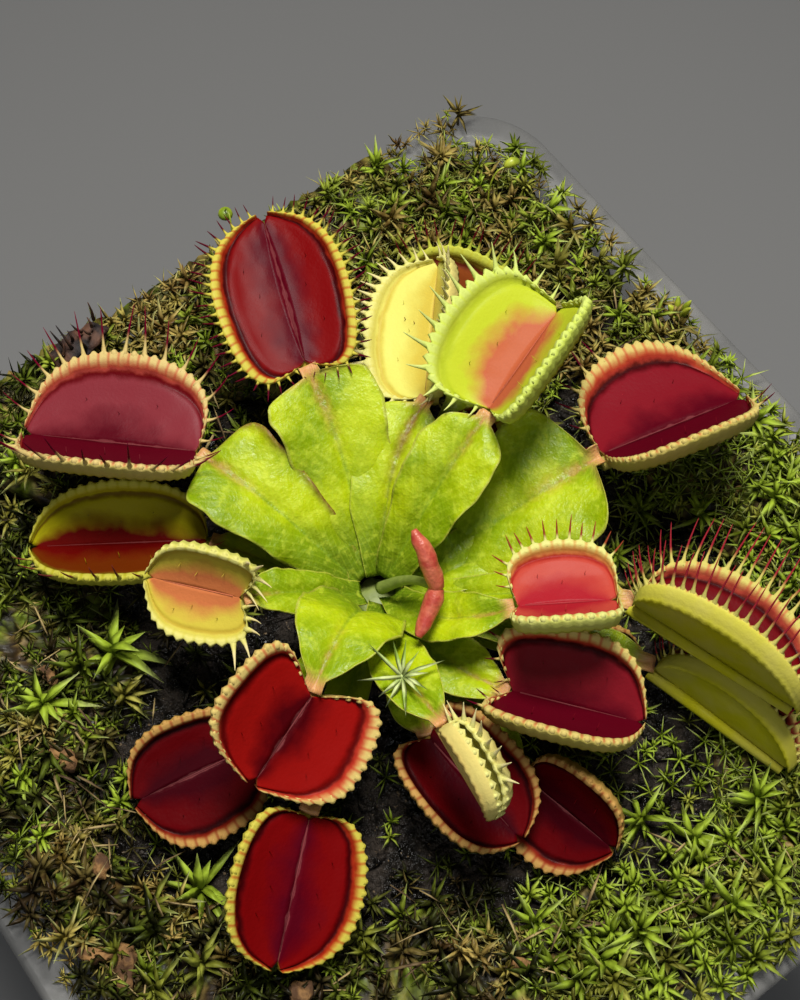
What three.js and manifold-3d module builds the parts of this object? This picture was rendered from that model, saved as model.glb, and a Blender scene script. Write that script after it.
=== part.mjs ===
// A potted venus flytrap: a square clear plastic pot filled with wet peat, a rosette of
// flat winged leaf stalks, a snap trap at the end of each, and living moss round the plant.
// Millimetres, +Z up, origin at the middle of the underside of the pot.
import * as THREE from 'three';
import { mergeVertices } from 'three/addons/utils/BufferGeometryUtils.js';
import Module from 'manifold-3d';

const wasm = await Module();
wasm.setup();

// Pot
const POT_SIDE = 100;
const POT_HEIGHT = 90;
const BASE_SIDE = 72;
const WALL = 1.4;
const FLOOR = 1.8;
const CORNER = 11;
const LIP_OUT = 2.6;
const LIP_DROP = 4;
const LIP_THICK = 1.4;
const FOOT = 1.2;
const DRAIN_RADIUS = 4;
const DRAIN_SPREAD = 21;
const RING_STEPS = 6;

// Soil and moss, heights measured from the top of the rim
const SOIL_TOP = -3.4;
const SOIL_BUMP = 0.35;
const GAP = 0.3;
const MOSS_RISE = 3.4;
const SPILL_EDGE = 49.6;
const MOSS_COLUMNS = 10;
const MOSS_ROWS = 4;

// Plant, heights measured from the top of the rim
const CROWN = new THREE.Vector3(-3.5, -1, 0);
const BLADE = 0.8;
const NECK_START = 0.94;
const NECK_HALF = 0.6;
const MIDRIB_DROP = 0.35;
const LOBE_THICK = 0.75;
const LOBE_CURL = 0.5;
const TEETH = 7;
const TIER_RADIUS = [3.6, 2.7, 1.9];
const TIER_HEIGHT = [-0.4, 1.2, 2.8];

// Each leaf: the neck where its trap begins, the trap's hinge length, heading, pitch and roll,
// how far each lobe leans out, how deep the two lobes are, how far they swell past the
// two ends of the hinge, tooth length, then of the stalk: its half width, how far along it is
// widest, and where, how far up and how far aside its middle is drawn; last its tier.
const LEAVES = [
  leaf('left', [-24.8, -8.3, 9], 17.3, -133, 0, 20, 59, 10.2, 10.2, 0.38, 0.24, 3.4,
    [5.4, 0.78, 0.55, 5, 0], 1, 'pink'),
  leaf('back_left', [-25.3, 5.9, 12], 16.5, 160, 10, -4, 80, 7.8, 7.2, 0.66, 0.05, 2.2,
    [5.8, 0.8, 0.55, 2.6, 1.5], 1, 'red'),
  leaf('left_low', [-18.1, -12.1, 4], 17.6, -124, 0, 1, 58, 7, 7, 0.1, 0.05, 2,
    [1.8, 0.7, 0.55, 0.9, 0], 0, 'olive'),
  leaf('left_young', [-8.6, -13.6, 10.5], 8.9, -140, 0, -40, 70, 5.6, 5.6, 1.1, 0.1, 2,
    [2.4, 0.6, 0.55, 2.4, 0], 2, 'yellow'),
  leaf('front_heart', [4.6, -14.3, 14], 9, -71, -12, -32, 78, 8.2, 8.4, 1.6, 0.1, 1,
    [5.2, 0.42, 0.15, 13, 0], 1, 'red'),
  leaf('front_left', [2.1, -21.9, 3], 10.6, -102, -6, -24, 74, 7.2, 6.6, 0.8, 0.1, 0.9,
    [2.2, 0.7, 0.55, 1, 0], 0, 'red'),
  leaf('front', [12.2, -20.4, 7], 13.5, -49, -14, -28, 80, 7, 7.2, 0.4, 0.1, 0.9,
    [2.6, 0.7, 0.55, 1.2, 0], 0, 'red'),
  leaf('front_right', [12.3, -6.2, 4], 12.5, 6, -8, 2, 68, 6.3, 6.2, 0.78, 0.1, 0.9,
    [2.6, 0.7, 0.55, 0.8, 0], 0, 'red'),
  leaf('front_closed', [14.6, -6.2, 15], 8.6, -7, -12, -14, 15, 4.6, 4.6, 0.3, 0.2, 1.6,
    [2.9, 0.6, 0.5, 4, 3], 2, 'cream'),
  leaf('right_low', [20.6, -0.4, 2], 10.4, 14, -4, 46, 70, 6.6, 6.6, 0.3, 0.1, 0.9,
    [2.2, 0.7, 0.55, 1.2, 0], 0, 'red'),
  leaf('right_front', [14.3, 2.3, 8], 12.2, 39, 0, -7, 47, 8, 8, 1.25, 0.1, 1.4,
    [3, 0.6, 0.5, 3.5, 3], 1, 'red'),
  leaf('right_small', [9.5, 6.2, 14.7], 8.6, 56, 4, -27, 62, 6.7, 6.5, 0.75, 0.7, 1.6,
    [2.7, 0.5, 0.45, 4.5, 5], 2, 'coral'),
  leaf('right_hidden', [14, 12, -1.3], 6, 62, 0, 4, 50, 4, 4, 0.4, 0.2, 0.9,
    [1.6, 0.7, 0.55, 0.9, 0], 0, 'red'),
  leaf('far_right', [14.7, 17.2, 10], 17.8, 18, 0, -47, 44, 8.6, 8.5, 0.24, 0.05, 3.2,
    [2.6, 0.7, 0.55, 3.8, 0], 1, 'olive'),
  leaf('far_right_low', [19.6, 17.4, 1.2], 15.9, 14, 0, -53, 36, 6.1, 6.2, 0.05, 0.05, 2,
    [2.4, 0.7, 0.55, 1.4, 0], 1, 'olive'),
  leaf('right_back', [0.6, 24.7, 10], 15.6, 77, 0, -31, 63, 11, 11, 0.2, 0.05, 2.4,
    [7.8, 0.76, 0.55, 4, 0], 0, 'pink'),
  leaf('back', [-8.5, 16.9, 15], 12, 108, 11, -24, 51, 9.8, 9.6, 0.8, 0.8, 2,
    [4.3, 0.68, 0.5, 5, 0], 2, 'yellow'),
  leaf('back_pale', [-15.8, 14.6, 9.3], 14.8, 138, 7, -38, 58, 7.6, 5, 0.4, 0.3, 1.8,
    [4.6, 0.68, 0.5, 4, -3], 1, 'cream'),
  leaf('back_hidden', [-20.5, 28.5, 1], 13.2, -147, 2, 4, 54, 8.4, 8.4, 0.6, 0.1, 2.4,
    [2.6, 0.7, 0.55, 1.8, 0], 0, 'olive'),
  leaf('back_low', [-2, 13.4, 3.6], 12.6, 157, 0, -14, 50, 4.6, 5.6, 0.3, 0.2, 1.4,
    [3.3, 0.6, 0.55, 4, 4.5], 1, 'red'),
];

const TRAP_COLOURS = {
  red: 0x8c1420,
  pink: 0xa52a3c,
  coral: 0xc2443c,
  olive: 0x8d8f2c,
  yellow: 0xc9c83c,
  cream: 0xd9d277,
};

// Moss patches: name, first and last heading round the pot, inner edge, height over the rest
const MOSS = [
  { name: 'moss_back', from: 112, to: 141, inner: 30, lift: 0.65, shoots: 4, seed: 11 },
  { name: 'moss_right', from: 56, to: 110, inner: 34, lift: 1, shoots: 4, seed: 23 },
  { name: 'moss_far_right', from: 2, to: 54, inner: 36, lift: 0.45, shoots: 4, seed: 37 },
  { name: 'moss_front_right', from: -52, to: 0, inner: 31, lift: 0.9, shoots: 4, seed: 41 },
  { name: 'moss_front', from: -100, to: -54, inner: 36, lift: 0.5, shoots: 4, seed: 59 },
  { name: 'moss_front_left', from: -144, to: -102, inner: 31, lift: 0.6, shoots: 4, seed: 61 },
  { name: 'moss_left', from: -216, to: -146, inner: 33, lift: 0.8, shoots: 4, seed: 79, spills: true },
];

function leaf(name, neck, hinge, heading, pitch, roll, gape, left, right, swell, swellTip,
  tooth, stalk, tier, style) {
  const [wing, hip, share, rise, sway] = stalk;
  return {
    name, neck: new THREE.Vector3(...neck), hinge, heading, pitch, roll, gape, left, right,
    swell, swellTip, tooth, wing, hip, share, rise, sway, tier, style,
  };
}

function seeded(seed) {
  let state = seed;
  return () => {
    state = (state * 16807) % 2147483647;
    return state / 2147483647;
  };
}

const rad = (degrees) => degrees * Math.PI / 180;

function toSolid(geometry) {
  const bare = geometry.clone();
  bare.deleteAttribute('normal');
  bare.deleteAttribute('uv');
  const merged = mergeVertices(bare, 1e-4);
  const vertProperties = new Float32Array(merged.attributes.position.array);
  const triVerts = new Uint32Array(merged.index.array);
  const solid = new wasm.Manifold(new wasm.Mesh({ numProp: 3, vertProperties, triVerts }));
  if (solid.volume() > 0) return solid;
  triVerts.reverse();
  return new wasm.Manifold(new wasm.Mesh({ numProp: 3, vertProperties, triVerts }));
}

function toGeometry(solid) {
  const mesh = solid.getMesh();
  const geometry = new THREE.BufferGeometry();
  geometry.setAttribute('position', new THREE.BufferAttribute(mesh.vertProperties, 3));
  geometry.setIndex(new THREE.BufferAttribute(mesh.triVerts, 1));
  geometry.computeVertexNormals();
  return geometry;
}

function largestPiece(solid) {
  const pieces = solid.decompose();
  pieces.sort((a, b) => b.volume() - a.volume());
  return pieces[0];
}

function union(solids) {
  return solids.reduce((sum, next) => sum.add(next));
}

// A box bent into a sheet: the callback gives the place for u, v in 0..1 and side w = -1 or 1.
function sheet(across, along, place) {
  const box = new THREE.BoxGeometry(1, 1, 1, across, along, 1);
  const points = box.attributes.position;
  for (let i = 0; i < points.count; i += 1) {
    const at = place(points.getX(i) + 0.5, points.getY(i) + 0.5, points.getZ(i) * 2);
    points.setXYZ(i, at.x, at.y, at.z);
  }
  return toSolid(box);
}

// Distance from the axis to a rounded square of the given half side, towards a ring step.
function squarePoint(step, half, corner) {
  const quarter = Math.floor(step / RING_STEPS);
  const part = (step % RING_STEPS) / RING_STEPS;
  const middle = half - corner;
  const local = new THREE.Vector2();
  const flat = 0.2;
  if (part < flat) {
    local.set(half, middle * (part / flat));
  } else if (part > 1 - flat) {
    local.set(middle * ((1 - part) / flat), half);
  } else {
    const turn = ((part - flat) / (1 - 2 * flat)) * Math.PI / 2;
    local.set(middle + corner * Math.cos(turn), middle + corner * Math.sin(turn));
  }
  return local.rotateAround(new THREE.Vector2(), quarter * Math.PI / 2);
}

// A lathe whose rings are pulled out into rounded squares: profile of [half side, height].
function squareLathe(profile, cornerAt) {
  const points = profile.map(([half, z]) => new THREE.Vector2(half, z));
  const steps = 4 * RING_STEPS;
  const lathe = new THREE.LatheGeometry(points, steps);
  const spots = lathe.attributes.position;
  for (let i = 0; i < spots.count; i += 1) {
    const ring = Math.floor(i / points.length) % steps;
    const [half, z] = profile[i % points.length];
    const spot = half > 0 ? squarePoint(ring, half, cornerAt(half)) : new THREE.Vector2();
    spots.setXYZ(i, spot.x, spot.y, z);
  }
  return lathe;
}

const sideAt = (z) => BASE_SIDE / 2 + (POT_SIDE / 2 - LIP_OUT - BASE_SIDE / 2) * (z / POT_HEIGHT);
const cornerAt = (half) => CORNER * half / (POT_SIDE / 2);

function makePot() {
  const top = sideAt(POT_HEIGHT);
  const under = POT_HEIGHT - LIP_DROP;
  const profile = [
    [0, FOOT], [BASE_SIDE / 2 - 6, FOOT], [BASE_SIDE / 2 - 5, 0], [BASE_SIDE / 2 - 1, 0],
    [BASE_SIDE / 2, 1], [sideAt(under - 2), under - 2], [POT_SIDE / 2 - LIP_THICK, under],
    [POT_SIDE / 2, under], [POT_SIDE / 2, POT_HEIGHT - 0.8], [POT_SIDE / 2 - 0.8, POT_HEIGHT],
    [top - WALL, POT_HEIGHT], [sideAt(FLOOR + FOOT + 2) - WALL, FLOOR + FOOT + 2],
    [sideAt(FLOOR) - WALL - 2, FLOOR + FOOT], [0, FLOOR + FOOT],
  ];
  const drains = [-1, 1].flatMap((x) => [-1, 1].map((y) => {
    const hole = new THREE.CylinderGeometry(DRAIN_RADIUS, DRAIN_RADIUS, 12, 12);
    hole.rotateX(Math.PI / 2);
    hole.translate(x * DRAIN_SPREAD, y * DRAIN_SPREAD, 2);
    return toSolid(hole);
  }));
  return toSolid(squareLathe(profile, cornerAt)).subtract(union(drains));
}

function ripple(x, y) {
  return Math.sin(x * 0.31 + 1.3) * Math.cos(y * 0.27 - 0.4) * 0.6 + Math.sin((x + y) * 0.53) * 0.4;
}

// The peat is lumpy round the crown and level where the moss lies on it.
function soilTop(x, y) {
  const bare = THREE.MathUtils.clamp((28 - Math.hypot(x, y)) / 6, 0, 1);
  return POT_HEIGHT + SOIL_TOP + SOIL_BUMP * ripple(x, y) * bare;
}

function makeSoil() {
  const low = FLOOR + FOOT + GAP;
  const fill = (z) => sideAt(z) - WALL - GAP;
  const top = POT_HEIGHT + SOIL_TOP;
  const shares = [0.96, 0.8, 0.62, 0.44, 0.26, 0.12];
  const profile = [
    [0, low], [fill(low) - 2.2, low], [fill(low + 3), low + 3], [fill(top - 1), top - 1],
    ...shares.map((share) => [fill(top) * share, top]), [0, top],
  ];
  const body = squareLathe(profile, cornerAt);
  const spots = body.attributes.position;
  for (let i = 0; i < spots.count; i += 1) {
    if (Math.abs(spots.getZ(i) - top) < 1e-4) {
      spots.setZ(i, soilTop(spots.getX(i), spots.getY(i)));
    }
  }
  return toSolid(body);
}

// Distance from the axis to the inside of the pot along a heading at rim height.
function reachAt(heading) {
  const half = sideAt(POT_HEIGHT + SOIL_TOP) - WALL - GAP - 0.4;
  const c = Math.abs(Math.cos(heading));
  const s = Math.abs(Math.sin(heading));
  const corner = CORNER;
  const m = half - corner;
  const straight = half / Math.max(c, s);
  if (straight * Math.min(c, s) <= m) return straight;
  const along = m * (c + s);
  return along + Math.sqrt(along * along - 2 * m * m + corner * corner);
}

function mossTop(patch, x, y, share) {
  const swell = Math.sin(share * Math.PI * 0.62) * MOSS_RISE * patch.lift;
  return soilTop(x, y) + 1 + swell + 0.45 * ripple(x * 2.3 + 5, y * 2.1);
}

function mossSpot(patch, turn, share) {
  const heading = rad(patch.from + (patch.to - patch.from) * turn);
  const inner = patch.inner + 2.2 * Math.sin(heading * 9 + patch.seed);
  const radius = inner + (reachAt(heading) - inner) * share;
  return [radius * Math.cos(heading), radius * Math.sin(heading)];
}

// A star-shaped moss shoot seen from above, drawn up to a point.
function shoot(x, y, z, size, turn) {
  const star = new THREE.ConeGeometry(size, size * 1.1, 10, 1);
  const spots = star.attributes.position;
  star.rotateX(Math.PI / 2);
  star.translate(0, 0, size * 0.55);
  for (let i = 0; i < spots.count; i += 1) {
    const ring = Math.round((Math.atan2(spots.getY(i), spots.getX(i)) + Math.PI / 2) / (Math.PI / 5));
    const pull = Math.abs(ring) % 2 === 1 ? 0.42 : 1;
    spots.setXY(i, spots.getX(i) * pull, spots.getY(i) * pull);
  }
  star.rotateZ(turn);
  star.translate(x, y, z);
  return toSolid(star);
}

// Every second knot of the moss is drawn up into a point, each to a height of its own.
function mossPoint(patch, column, row) {
  const inside = column > 0 && column < MOSS_COLUMNS && row > 0 && row < MOSS_ROWS;
  const chance = Math.abs(Math.sin(column * 12.9898 + row * 78.233 + patch.seed) * 43758.5453) % 1;
  return inside && (column + row) % 2 === 1 ? 0.7 + 1.3 * chance : 0;
}

// Rows of a patch from its inner edge to the wall; where it spills, two more cross the rim.
function mossRow(patch, turn, row, w) {
  const share = row === MOSS_ROWS && patch.spills ? 0.94 : Math.min(row / MOSS_ROWS, 1);
  const [x, y] = mossSpot(patch, turn, share);
  const over = row === MOSS_ROWS + 2 ? SPILL_EDGE / Math.abs(x) : 1;
  const low = row > MOSS_ROWS ? POT_HEIGHT + GAP : soilTop(x, y) + GAP;
  const column = Math.round(turn * MOSS_COLUMNS);
  const flow = mossTop(patch, x, y, share) + mossPoint(patch, column, row);
  const crest = row === MOSS_ROWS + 2 ? POT_HEIGHT + GAP + 0.6 + 0.9 * (column % 2) : flow;
  return new THREE.Vector3(x * over, y, w > 0 ? Math.max(crest, low + 0.8) : low);
}

function makeMoss(patch) {
  const rows = patch.spills ? MOSS_ROWS + 2 : MOSS_ROWS;
  const body = sheet(MOSS_COLUMNS, rows, (turn, share, w) => {
    return mossRow(patch, turn, Math.round(share * rows), w);
  });
  const draw = seeded(patch.seed);
  const shoots = [];
  for (let i = 0; i < patch.shoots; i += 1) {
    const share = 0.12 + 0.74 * draw();
    const [x, y] = mossSpot(patch, 0.07 + 0.86 * draw(), share);
    const size = 1.5 + 1.1 * draw();
    shoots.push(shoot(x, y, mossTop(patch, x, y, share) - 0.45, size, draw() * 6));
  }
  return largestPiece(union([body, ...shoots]));
}

// The hinge line, the way the trap faces and the side its right lobe leans to.
function trapAxes(item) {
  const heading = rad(item.heading);
  const pitch = rad(item.pitch);
  const along = new THREE.Vector3(
    Math.cos(heading) * Math.cos(pitch), Math.sin(heading) * Math.cos(pitch), Math.sin(pitch),
  );
  const up = new THREE.Vector3(0, 0, 1).addScaledVector(along, -along.z).normalize();
  const side = new THREE.Vector3().crossVectors(along, up);
  const roll = rad(item.roll);
  const face = up.clone().multiplyScalar(Math.cos(roll)).addScaledVector(side, Math.sin(roll));
  return { along, face, side: new THREE.Vector3().crossVectors(along, face) };
}

// A spot on a lobe: t runs along the hinge, s from hinge to rim, w is through the thickness.
function lobeSpot(item, hand, t, s, w, grow = 0) {
  const { along, face, side } = trapAxes(item);
  const deep = hand > 0 ? item.right : item.left;
  const swell = t < 0.5 ? item.swell : item.swellTip;
  const sine = Math.sin(Math.PI * t);
  const rim = item.hinge / 2 * (1 - Math.cos(Math.PI * t) * (1 + swell * sine));
  const run = deep * Math.pow(sine, 0.8) * s;
  const u = item.hinge * t + (rim - item.hinge * t) * Math.pow(s, 0.8);
  const bend = LOBE_CURL / deep;
  const start = rad(item.gape) + LOBE_CURL / 2;
  const angle = start - bend * run;
  const out = (Math.cos(angle) - Math.cos(start)) / bend;
  const rise = (Math.sin(start) - Math.sin(angle)) / bend;
  const thick = w * (LOBE_THICK / 2 + grow);
  return item.neck.clone().setZ(item.neck.z + POT_HEIGHT)
    .addScaledVector(along, u)
    .addScaledVector(face, rise + thick * Math.sin(angle))
    .addScaledVector(side, hand * (out - thick * Math.cos(angle)));
}

// A lobe whose rim runs out into a tooth at every second column; grow swells it all round.
function makeLobe(item, hand, grow) {
  const deep = hand > 0 ? item.right : item.left;
  const teeth = item.hinge > 13 ? TEETH : TEETH - 2;
  return sheet(teeth * 2, 2, (t, s, w) => {
    const column = Math.round(t * teeth * 2);
    const tip = column % 2 === 1 && s > 0.9 ? item.tooth * Math.sin(Math.PI * t) : 0;
    const share = s * (1 + (tip + grow) / deep);
    const spot = lobeSpot(item, hand, 0.03 + 0.94 * t, share, hand * w, grow);
    const { face } = trapAxes(item);
    return spot.addScaledVector(face, 0.35 * tip);
  });
}

function makeHinge(item, grow) {
  const { along, face } = trapAxes(item);
  const bar = new THREE.CylinderGeometry(0.6 + grow, 0.8 + grow, item.hinge + 0.4 + 2 * grow, 5);
  bar.translate(0, item.hinge / 2, 0);
  bar.applyQuaternion(
    new THREE.Quaternion().setFromUnitVectors(new THREE.Vector3(0, 1, 0), along),
  );
  bar.translate(item.neck.x, item.neck.y, item.neck.z + POT_HEIGHT);
  bar.translate(...face.multiplyScalar(-MIDRIB_DROP).toArray());
  return toSolid(bar);
}

function makeTrap(item, grow) {
  return union([makeLobe(item, -1, grow), makeLobe(item, 1, grow), makeHinge(item, grow)]);
}

// The middle line of a leaf stalk, from its tier on the crown to just short of the trap.
function stalkPath(item) {
  const neck = item.neck.clone().setZ(item.neck.z + POT_HEIGHT);
  const heading = Math.atan2(neck.y - CROWN.y, neck.x - CROWN.x);
  const radius = TIER_RADIUS[item.tier];
  const from = new THREE.Vector3(
    CROWN.x + radius * Math.cos(heading), CROWN.y + radius * Math.sin(heading),
    POT_HEIGHT + TIER_HEIGHT[item.tier],
  );
  const { along } = trapAxes(item);
  const end = neck.clone().addScaledVector(along, -0.75);
  const middle = from.clone().lerp(end, item.share);
  middle.x += item.sway * Math.sin(heading);
  middle.y -= item.sway * Math.cos(heading);
  middle.z += item.rise;
  return new THREE.QuadraticBezierCurve3(from, middle, end);
}

// Half the stalk's width along it: a broad base, wider to the hip, then in to the narrow neck.
function stalkWidth(item, v) {
  const shoulder = item.hip + 0.04;
  const flare = Math.pow(Math.sin(Math.min(v / item.hip, 1) * Math.PI / 2), 1.2);
  const past = Math.max(v - shoulder, 0) / (NECK_START - shoulder);
  const taper = Math.max(1 - Math.pow(past, 2.2), 0);
  return NECK_HALF + (item.wing - NECK_HALF) * (0.25 + 0.75 * flare) * taper;
}

function makeStalk(item, grow) {
  const path = stalkPath(item);
  const tilt = item.hinge * 0.9;
  return sheet(4, 6, (u, row, w) => {
    const v = 1 - Math.pow(1 - row, 1.5);
    const at = path.getPoint(v);
    const way = path.getTangent(v);
    const up = new THREE.Vector3(0, 0, 1).addScaledVector(way, -way.z).normalize();
    const side = new THREE.Vector3().crossVectors(way, up);
    const across = u * 2 - 1;
    const wide = stalkWidth(item, v) + grow;
    const wave = 0.1 * item.wing * Math.sin(7 * v + tilt) * across * across;
    const lift = 0.16 * Math.abs(across) * wide + wave;
    const thick = w * (BLADE / 2 + grow);
    return at.addScaledVector(side, across * wide).addScaledVector(up, lift + thick);
  });
}

// Stalks of the upper tiers keep their form; a lower one is cut clear where they press on it.
// Every stalk stops just short of the trap it bears and of any other it meets.
function makeStalks() {
  const order = [...LEAVES].sort((a, b) => b.tier - a.tier);
  const kept = LEAVES.map((item) => makeTrap(item, GAP));
  const done = new Map();
  for (const item of order) {
    let solid = makeStalk(item, 0);
    for (const other of kept) solid = solid.subtract(other);
    done.set(item.name, largestPiece(solid));
    kept.push(makeStalk(item, GAP));
  }
  return done;
}

function makeCrown() {
  const bulb = new THREE.SphereGeometry(3.2, 12, 6);
  bulb.scale(1, 1, 0.5);
  bulb.translate(CROWN.x, CROWN.y, POT_HEIGHT + SOIL_TOP + 1.9);
  return toSolid(bulb);
}

// A rod of round section along a smooth curve through the given spots, thin at both ends.
function spindle(spots, radius) {
  const path = new THREE.CatmullRomCurve3(spots.map(([x, y, z]) => {
    return new THREE.Vector3(x, y, z + POT_HEIGHT);
  }));
  const outline = new THREE.Shape();
  outline.absellipse(0, 0, radius, radius, 0, Math.PI * 2);
  return toSolid(new THREE.ExtrudeGeometry(outline, {
    steps: 4, curveSegments: 3, extrudePath: path, bevelEnabled: false,
  }));
}

// The youngest leaf: a thin stalk, and at its end two lobes still folded down over each other.
function makeBud() {
  const stalk = spindle([[-3, -0.8, 4.6], [-1.4, 0.4, 8], [0.6, 1, 11.5], [3.2, 1.3, 14.6]], 0.55);
  const upper = spindle([[-1.4, 2, 19], [1.2, 1.7, 17.4], [3.3, 1.3, 14.8]], 0.85);
  const lower = spindle([[3.3, 1.3, 14.8], [4.4, -0.4, 13.8], [5.7, -2.7, 13]], 0.85);
  return union([stalk, upper, lower]);
}

function plastic() {
  return new THREE.MeshStandardMaterial({ color: 0xb9bdb8, roughness: 0.25, metalness: 0 });
}

function peat() {
  return new THREE.MeshStandardMaterial({ color: 0x1d1712, roughness: 0.9, metalness: 0 });
}

function greenLeaf() {
  return new THREE.MeshStandardMaterial({ color: 0x8fbf2a, roughness: 0.5, metalness: 0 });
}

function mossGreen() {
  return new THREE.MeshStandardMaterial({ color: 0x7f9a35, roughness: 0.85, metalness: 0 });
}

function trapSkin(style) {
  return new THREE.MeshStandardMaterial({
    color: TRAP_COLOURS[style], roughness: 0.45, metalness: 0,
  });
}

function addPart(group, name, solid, material) {
  const mesh = new THREE.Mesh(toGeometry(solid), material);
  mesh.name = name;
  group.add(mesh);
}

function build() {
  const plant = new THREE.Group();
  addPart(plant, 'pot', makePot(), plastic());
  addPart(plant, 'soil', makeSoil(), peat());
  addPart(plant, 'crown', makeCrown(), greenLeaf());
  addPart(plant, 'bud', makeBud(), trapSkin('coral'));
  const stalks = makeStalks();
  for (const item of LEAVES) {
    addPart(plant, `stalk_${item.name}`, stalks.get(item.name), greenLeaf());
    addPart(plant, `trap_${item.name}`, makeTrap(item, 0), trapSkin(item.style));
  }
  for (const patch of MOSS) {
    addPart(plant, patch.name, makeMoss(patch), mossGreen());
  }
  return plant;
}

export default build();
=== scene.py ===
"""The looks of a potted venus flytrap: clear square pot, wet peat, moss, a rosette of leaves.
Lengths in the formulas are millimetres, as on the part, and MM turns them into metres."""

import random
from collections import namedtuple
from math import atan2, copysign, cos, degrees, exp, hypot, pi, radians, sin, sqrt, tau

import bmesh
import bpy
import numpy as np
from bmesh.types import BMEdge, BMVert
from mathutils import Matrix, Vector
from mathutils.noise import noise


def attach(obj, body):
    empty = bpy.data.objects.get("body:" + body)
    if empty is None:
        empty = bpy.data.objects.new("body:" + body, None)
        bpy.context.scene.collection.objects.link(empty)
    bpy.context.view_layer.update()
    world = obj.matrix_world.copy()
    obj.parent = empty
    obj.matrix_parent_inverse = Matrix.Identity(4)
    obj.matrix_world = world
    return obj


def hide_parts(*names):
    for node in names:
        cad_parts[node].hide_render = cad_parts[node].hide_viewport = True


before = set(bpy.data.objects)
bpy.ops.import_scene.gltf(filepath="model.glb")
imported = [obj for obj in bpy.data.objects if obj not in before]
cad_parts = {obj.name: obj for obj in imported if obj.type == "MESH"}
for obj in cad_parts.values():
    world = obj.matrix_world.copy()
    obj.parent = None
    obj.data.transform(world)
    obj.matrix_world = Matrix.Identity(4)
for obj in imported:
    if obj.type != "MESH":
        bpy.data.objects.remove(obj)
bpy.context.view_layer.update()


# The pot: one clear, faintly smoky moulding, square with round corners, tapering to a foot
# ring, with four drain holes. Moss hides its rolled rim on the left, peat shows through it.
MM = 0.001
POT_SIDE, POT_HEIGHT, BASE_SIDE, WALL, FLOOR, FOOT = 100, 90, 72, 1.4, 1.8, 1.2
CORNER, LIP_OUT, LIP_DROP = 11, 2.6, 4
SIDE_STEPS, CORNER_STEPS = 7, 14
DRAIN_SPREAD, DRAIN_RADIUS = 21, 4
RIM = Vector((0, 0, POT_HEIGHT))


def mesh_from(bm, name):
    bmesh.ops.recalc_face_normals(bm, faces=bm.faces)
    mesh = bpy.data.meshes.new(name)
    bm.to_mesh(mesh)
    bm.free()
    return mesh


def corners_in(geometry):
    return [part for part in geometry if isinstance(part, BMVert)]


def drawn_out(bm, edges):
    """Extrudes a loop of edges, and gives the new loop's corners and edges."""
    new = bmesh.ops.extrude_edge_only(bm, edges=edges)["geom"]
    ring = corners_in(new)
    return ring, [part for part in new if isinstance(part, BMEdge) and set(part.verts) <= set(ring)]


def placed_at(x, y, z):
    return Matrix.Translation(Vector((x, y, z)) * MM)


def square_ring(half):
    corner = CORNER * half / (POT_SIDE / 2)
    middle = half - corner
    points = []
    for quarter in range(4):
        turn = Matrix.Rotation(quarter * pi / 2, 2)
        for i in range(SIDE_STEPS):
            points.append(turn @ Vector((half, middle * (2 * i / SIDE_STEPS - 1))))
        for i in range(CORNER_STEPS):
            a = i / CORNER_STEPS * pi / 2
            reach = Vector((cos(a), sin(a))) * corner
            points.append(turn @ (Vector((middle, middle)) + reach))
    return points


def square_body(profile, place=None):
    """Draws a ring out along the profile of (half width, height), and closes both ends."""
    bm = bmesh.new()
    number = bm.verts.layers.int.new("number")
    count = 4 * (SIDE_STEPS + CORNER_STEPS)
    ring = bmesh.ops.create_circle(bm, segments=count, radius=1, cap_ends=True)["verts"]
    for i, vert in enumerate(ring):
        vert[number] = i
    edges = list(bm.edges)
    for step, (half, z) in enumerate(profile):
        if step:
            ring, edges = drawn_out(bm, edges)
        corners = square_ring(half)
        for vert in ring:
            spot = Vector((*corners[vert[number]], z))
            vert.co = (place(spot) if place else spot) * MM
    bmesh.ops.contextual_create(bm, geom=edges)
    return bm


def side_at(z):
    return BASE_SIDE / 2 + (POT_SIDE / 2 - LIP_OUT - BASE_SIDE / 2) * z / POT_HEIGHT


def roll(cx, cz, radius, start, end, steps=4):
    turns = [radians(start + (end - start) * i / steps) for i in range(steps + 1)]
    return [(cx + radius * cos(a), cz + radius * sin(a)) for a in turns]


top, under = POT_HEIGHT, POT_HEIGHT - LIP_DROP
foot_in, floor_top = BASE_SIDE / 2 - 5.5, FOOT + FLOOR
bm = square_body([
    (2, FOOT), (foot_in - 0.6, FOOT), *roll(foot_in + 0.8, 0.8, 0.8, 180, 270),
    *roll(BASE_SIDE / 2 - 1.6, 1.4, 1.4, -90, -5), (side_at(30), 30), (side_at(60), 60),
    (side_at(under - 2), under - 2), *roll(side_at(under) + 1.2, under - 1.1, 1, 180, 90),
    *roll(POT_SIDE / 2 - 0.5, under + 0.5, 0.5, -90, 0), (POT_SIDE / 2, under + 2),
    *roll(POT_SIDE / 2 - 0.9, top - 0.9, 0.9, 0, 90),
    *roll(side_at(top) - WALL + 0.7, top - 0.7, 0.7, 90, 180),
    (side_at(60) - WALL, 60), (side_at(30) - WALL, 30), (side_at(6) - WALL, floor_top + 3),
    *roll(side_at(3) - WALL - 2.5, floor_top + 2.5, 2.5, 0, -90), (2, floor_top),
])
blank = bpy.data.objects.new("blank", mesh_from(bm, "pot_body"))
bm = bmesh.new()
for x in (-DRAIN_SPREAD, DRAIN_SPREAD):
    for y in (-DRAIN_SPREAD, DRAIN_SPREAD):
        bmesh.ops.create_cone(bm, cap_ends=True, segments=28, radius1=DRAIN_RADIUS * MM,
                              radius2=DRAIN_RADIUS * MM, depth=12 * MM, matrix=placed_at(x, y, 2))
drill = bpy.data.objects.new("drill", mesh_from(bm, "drill"))
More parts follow.
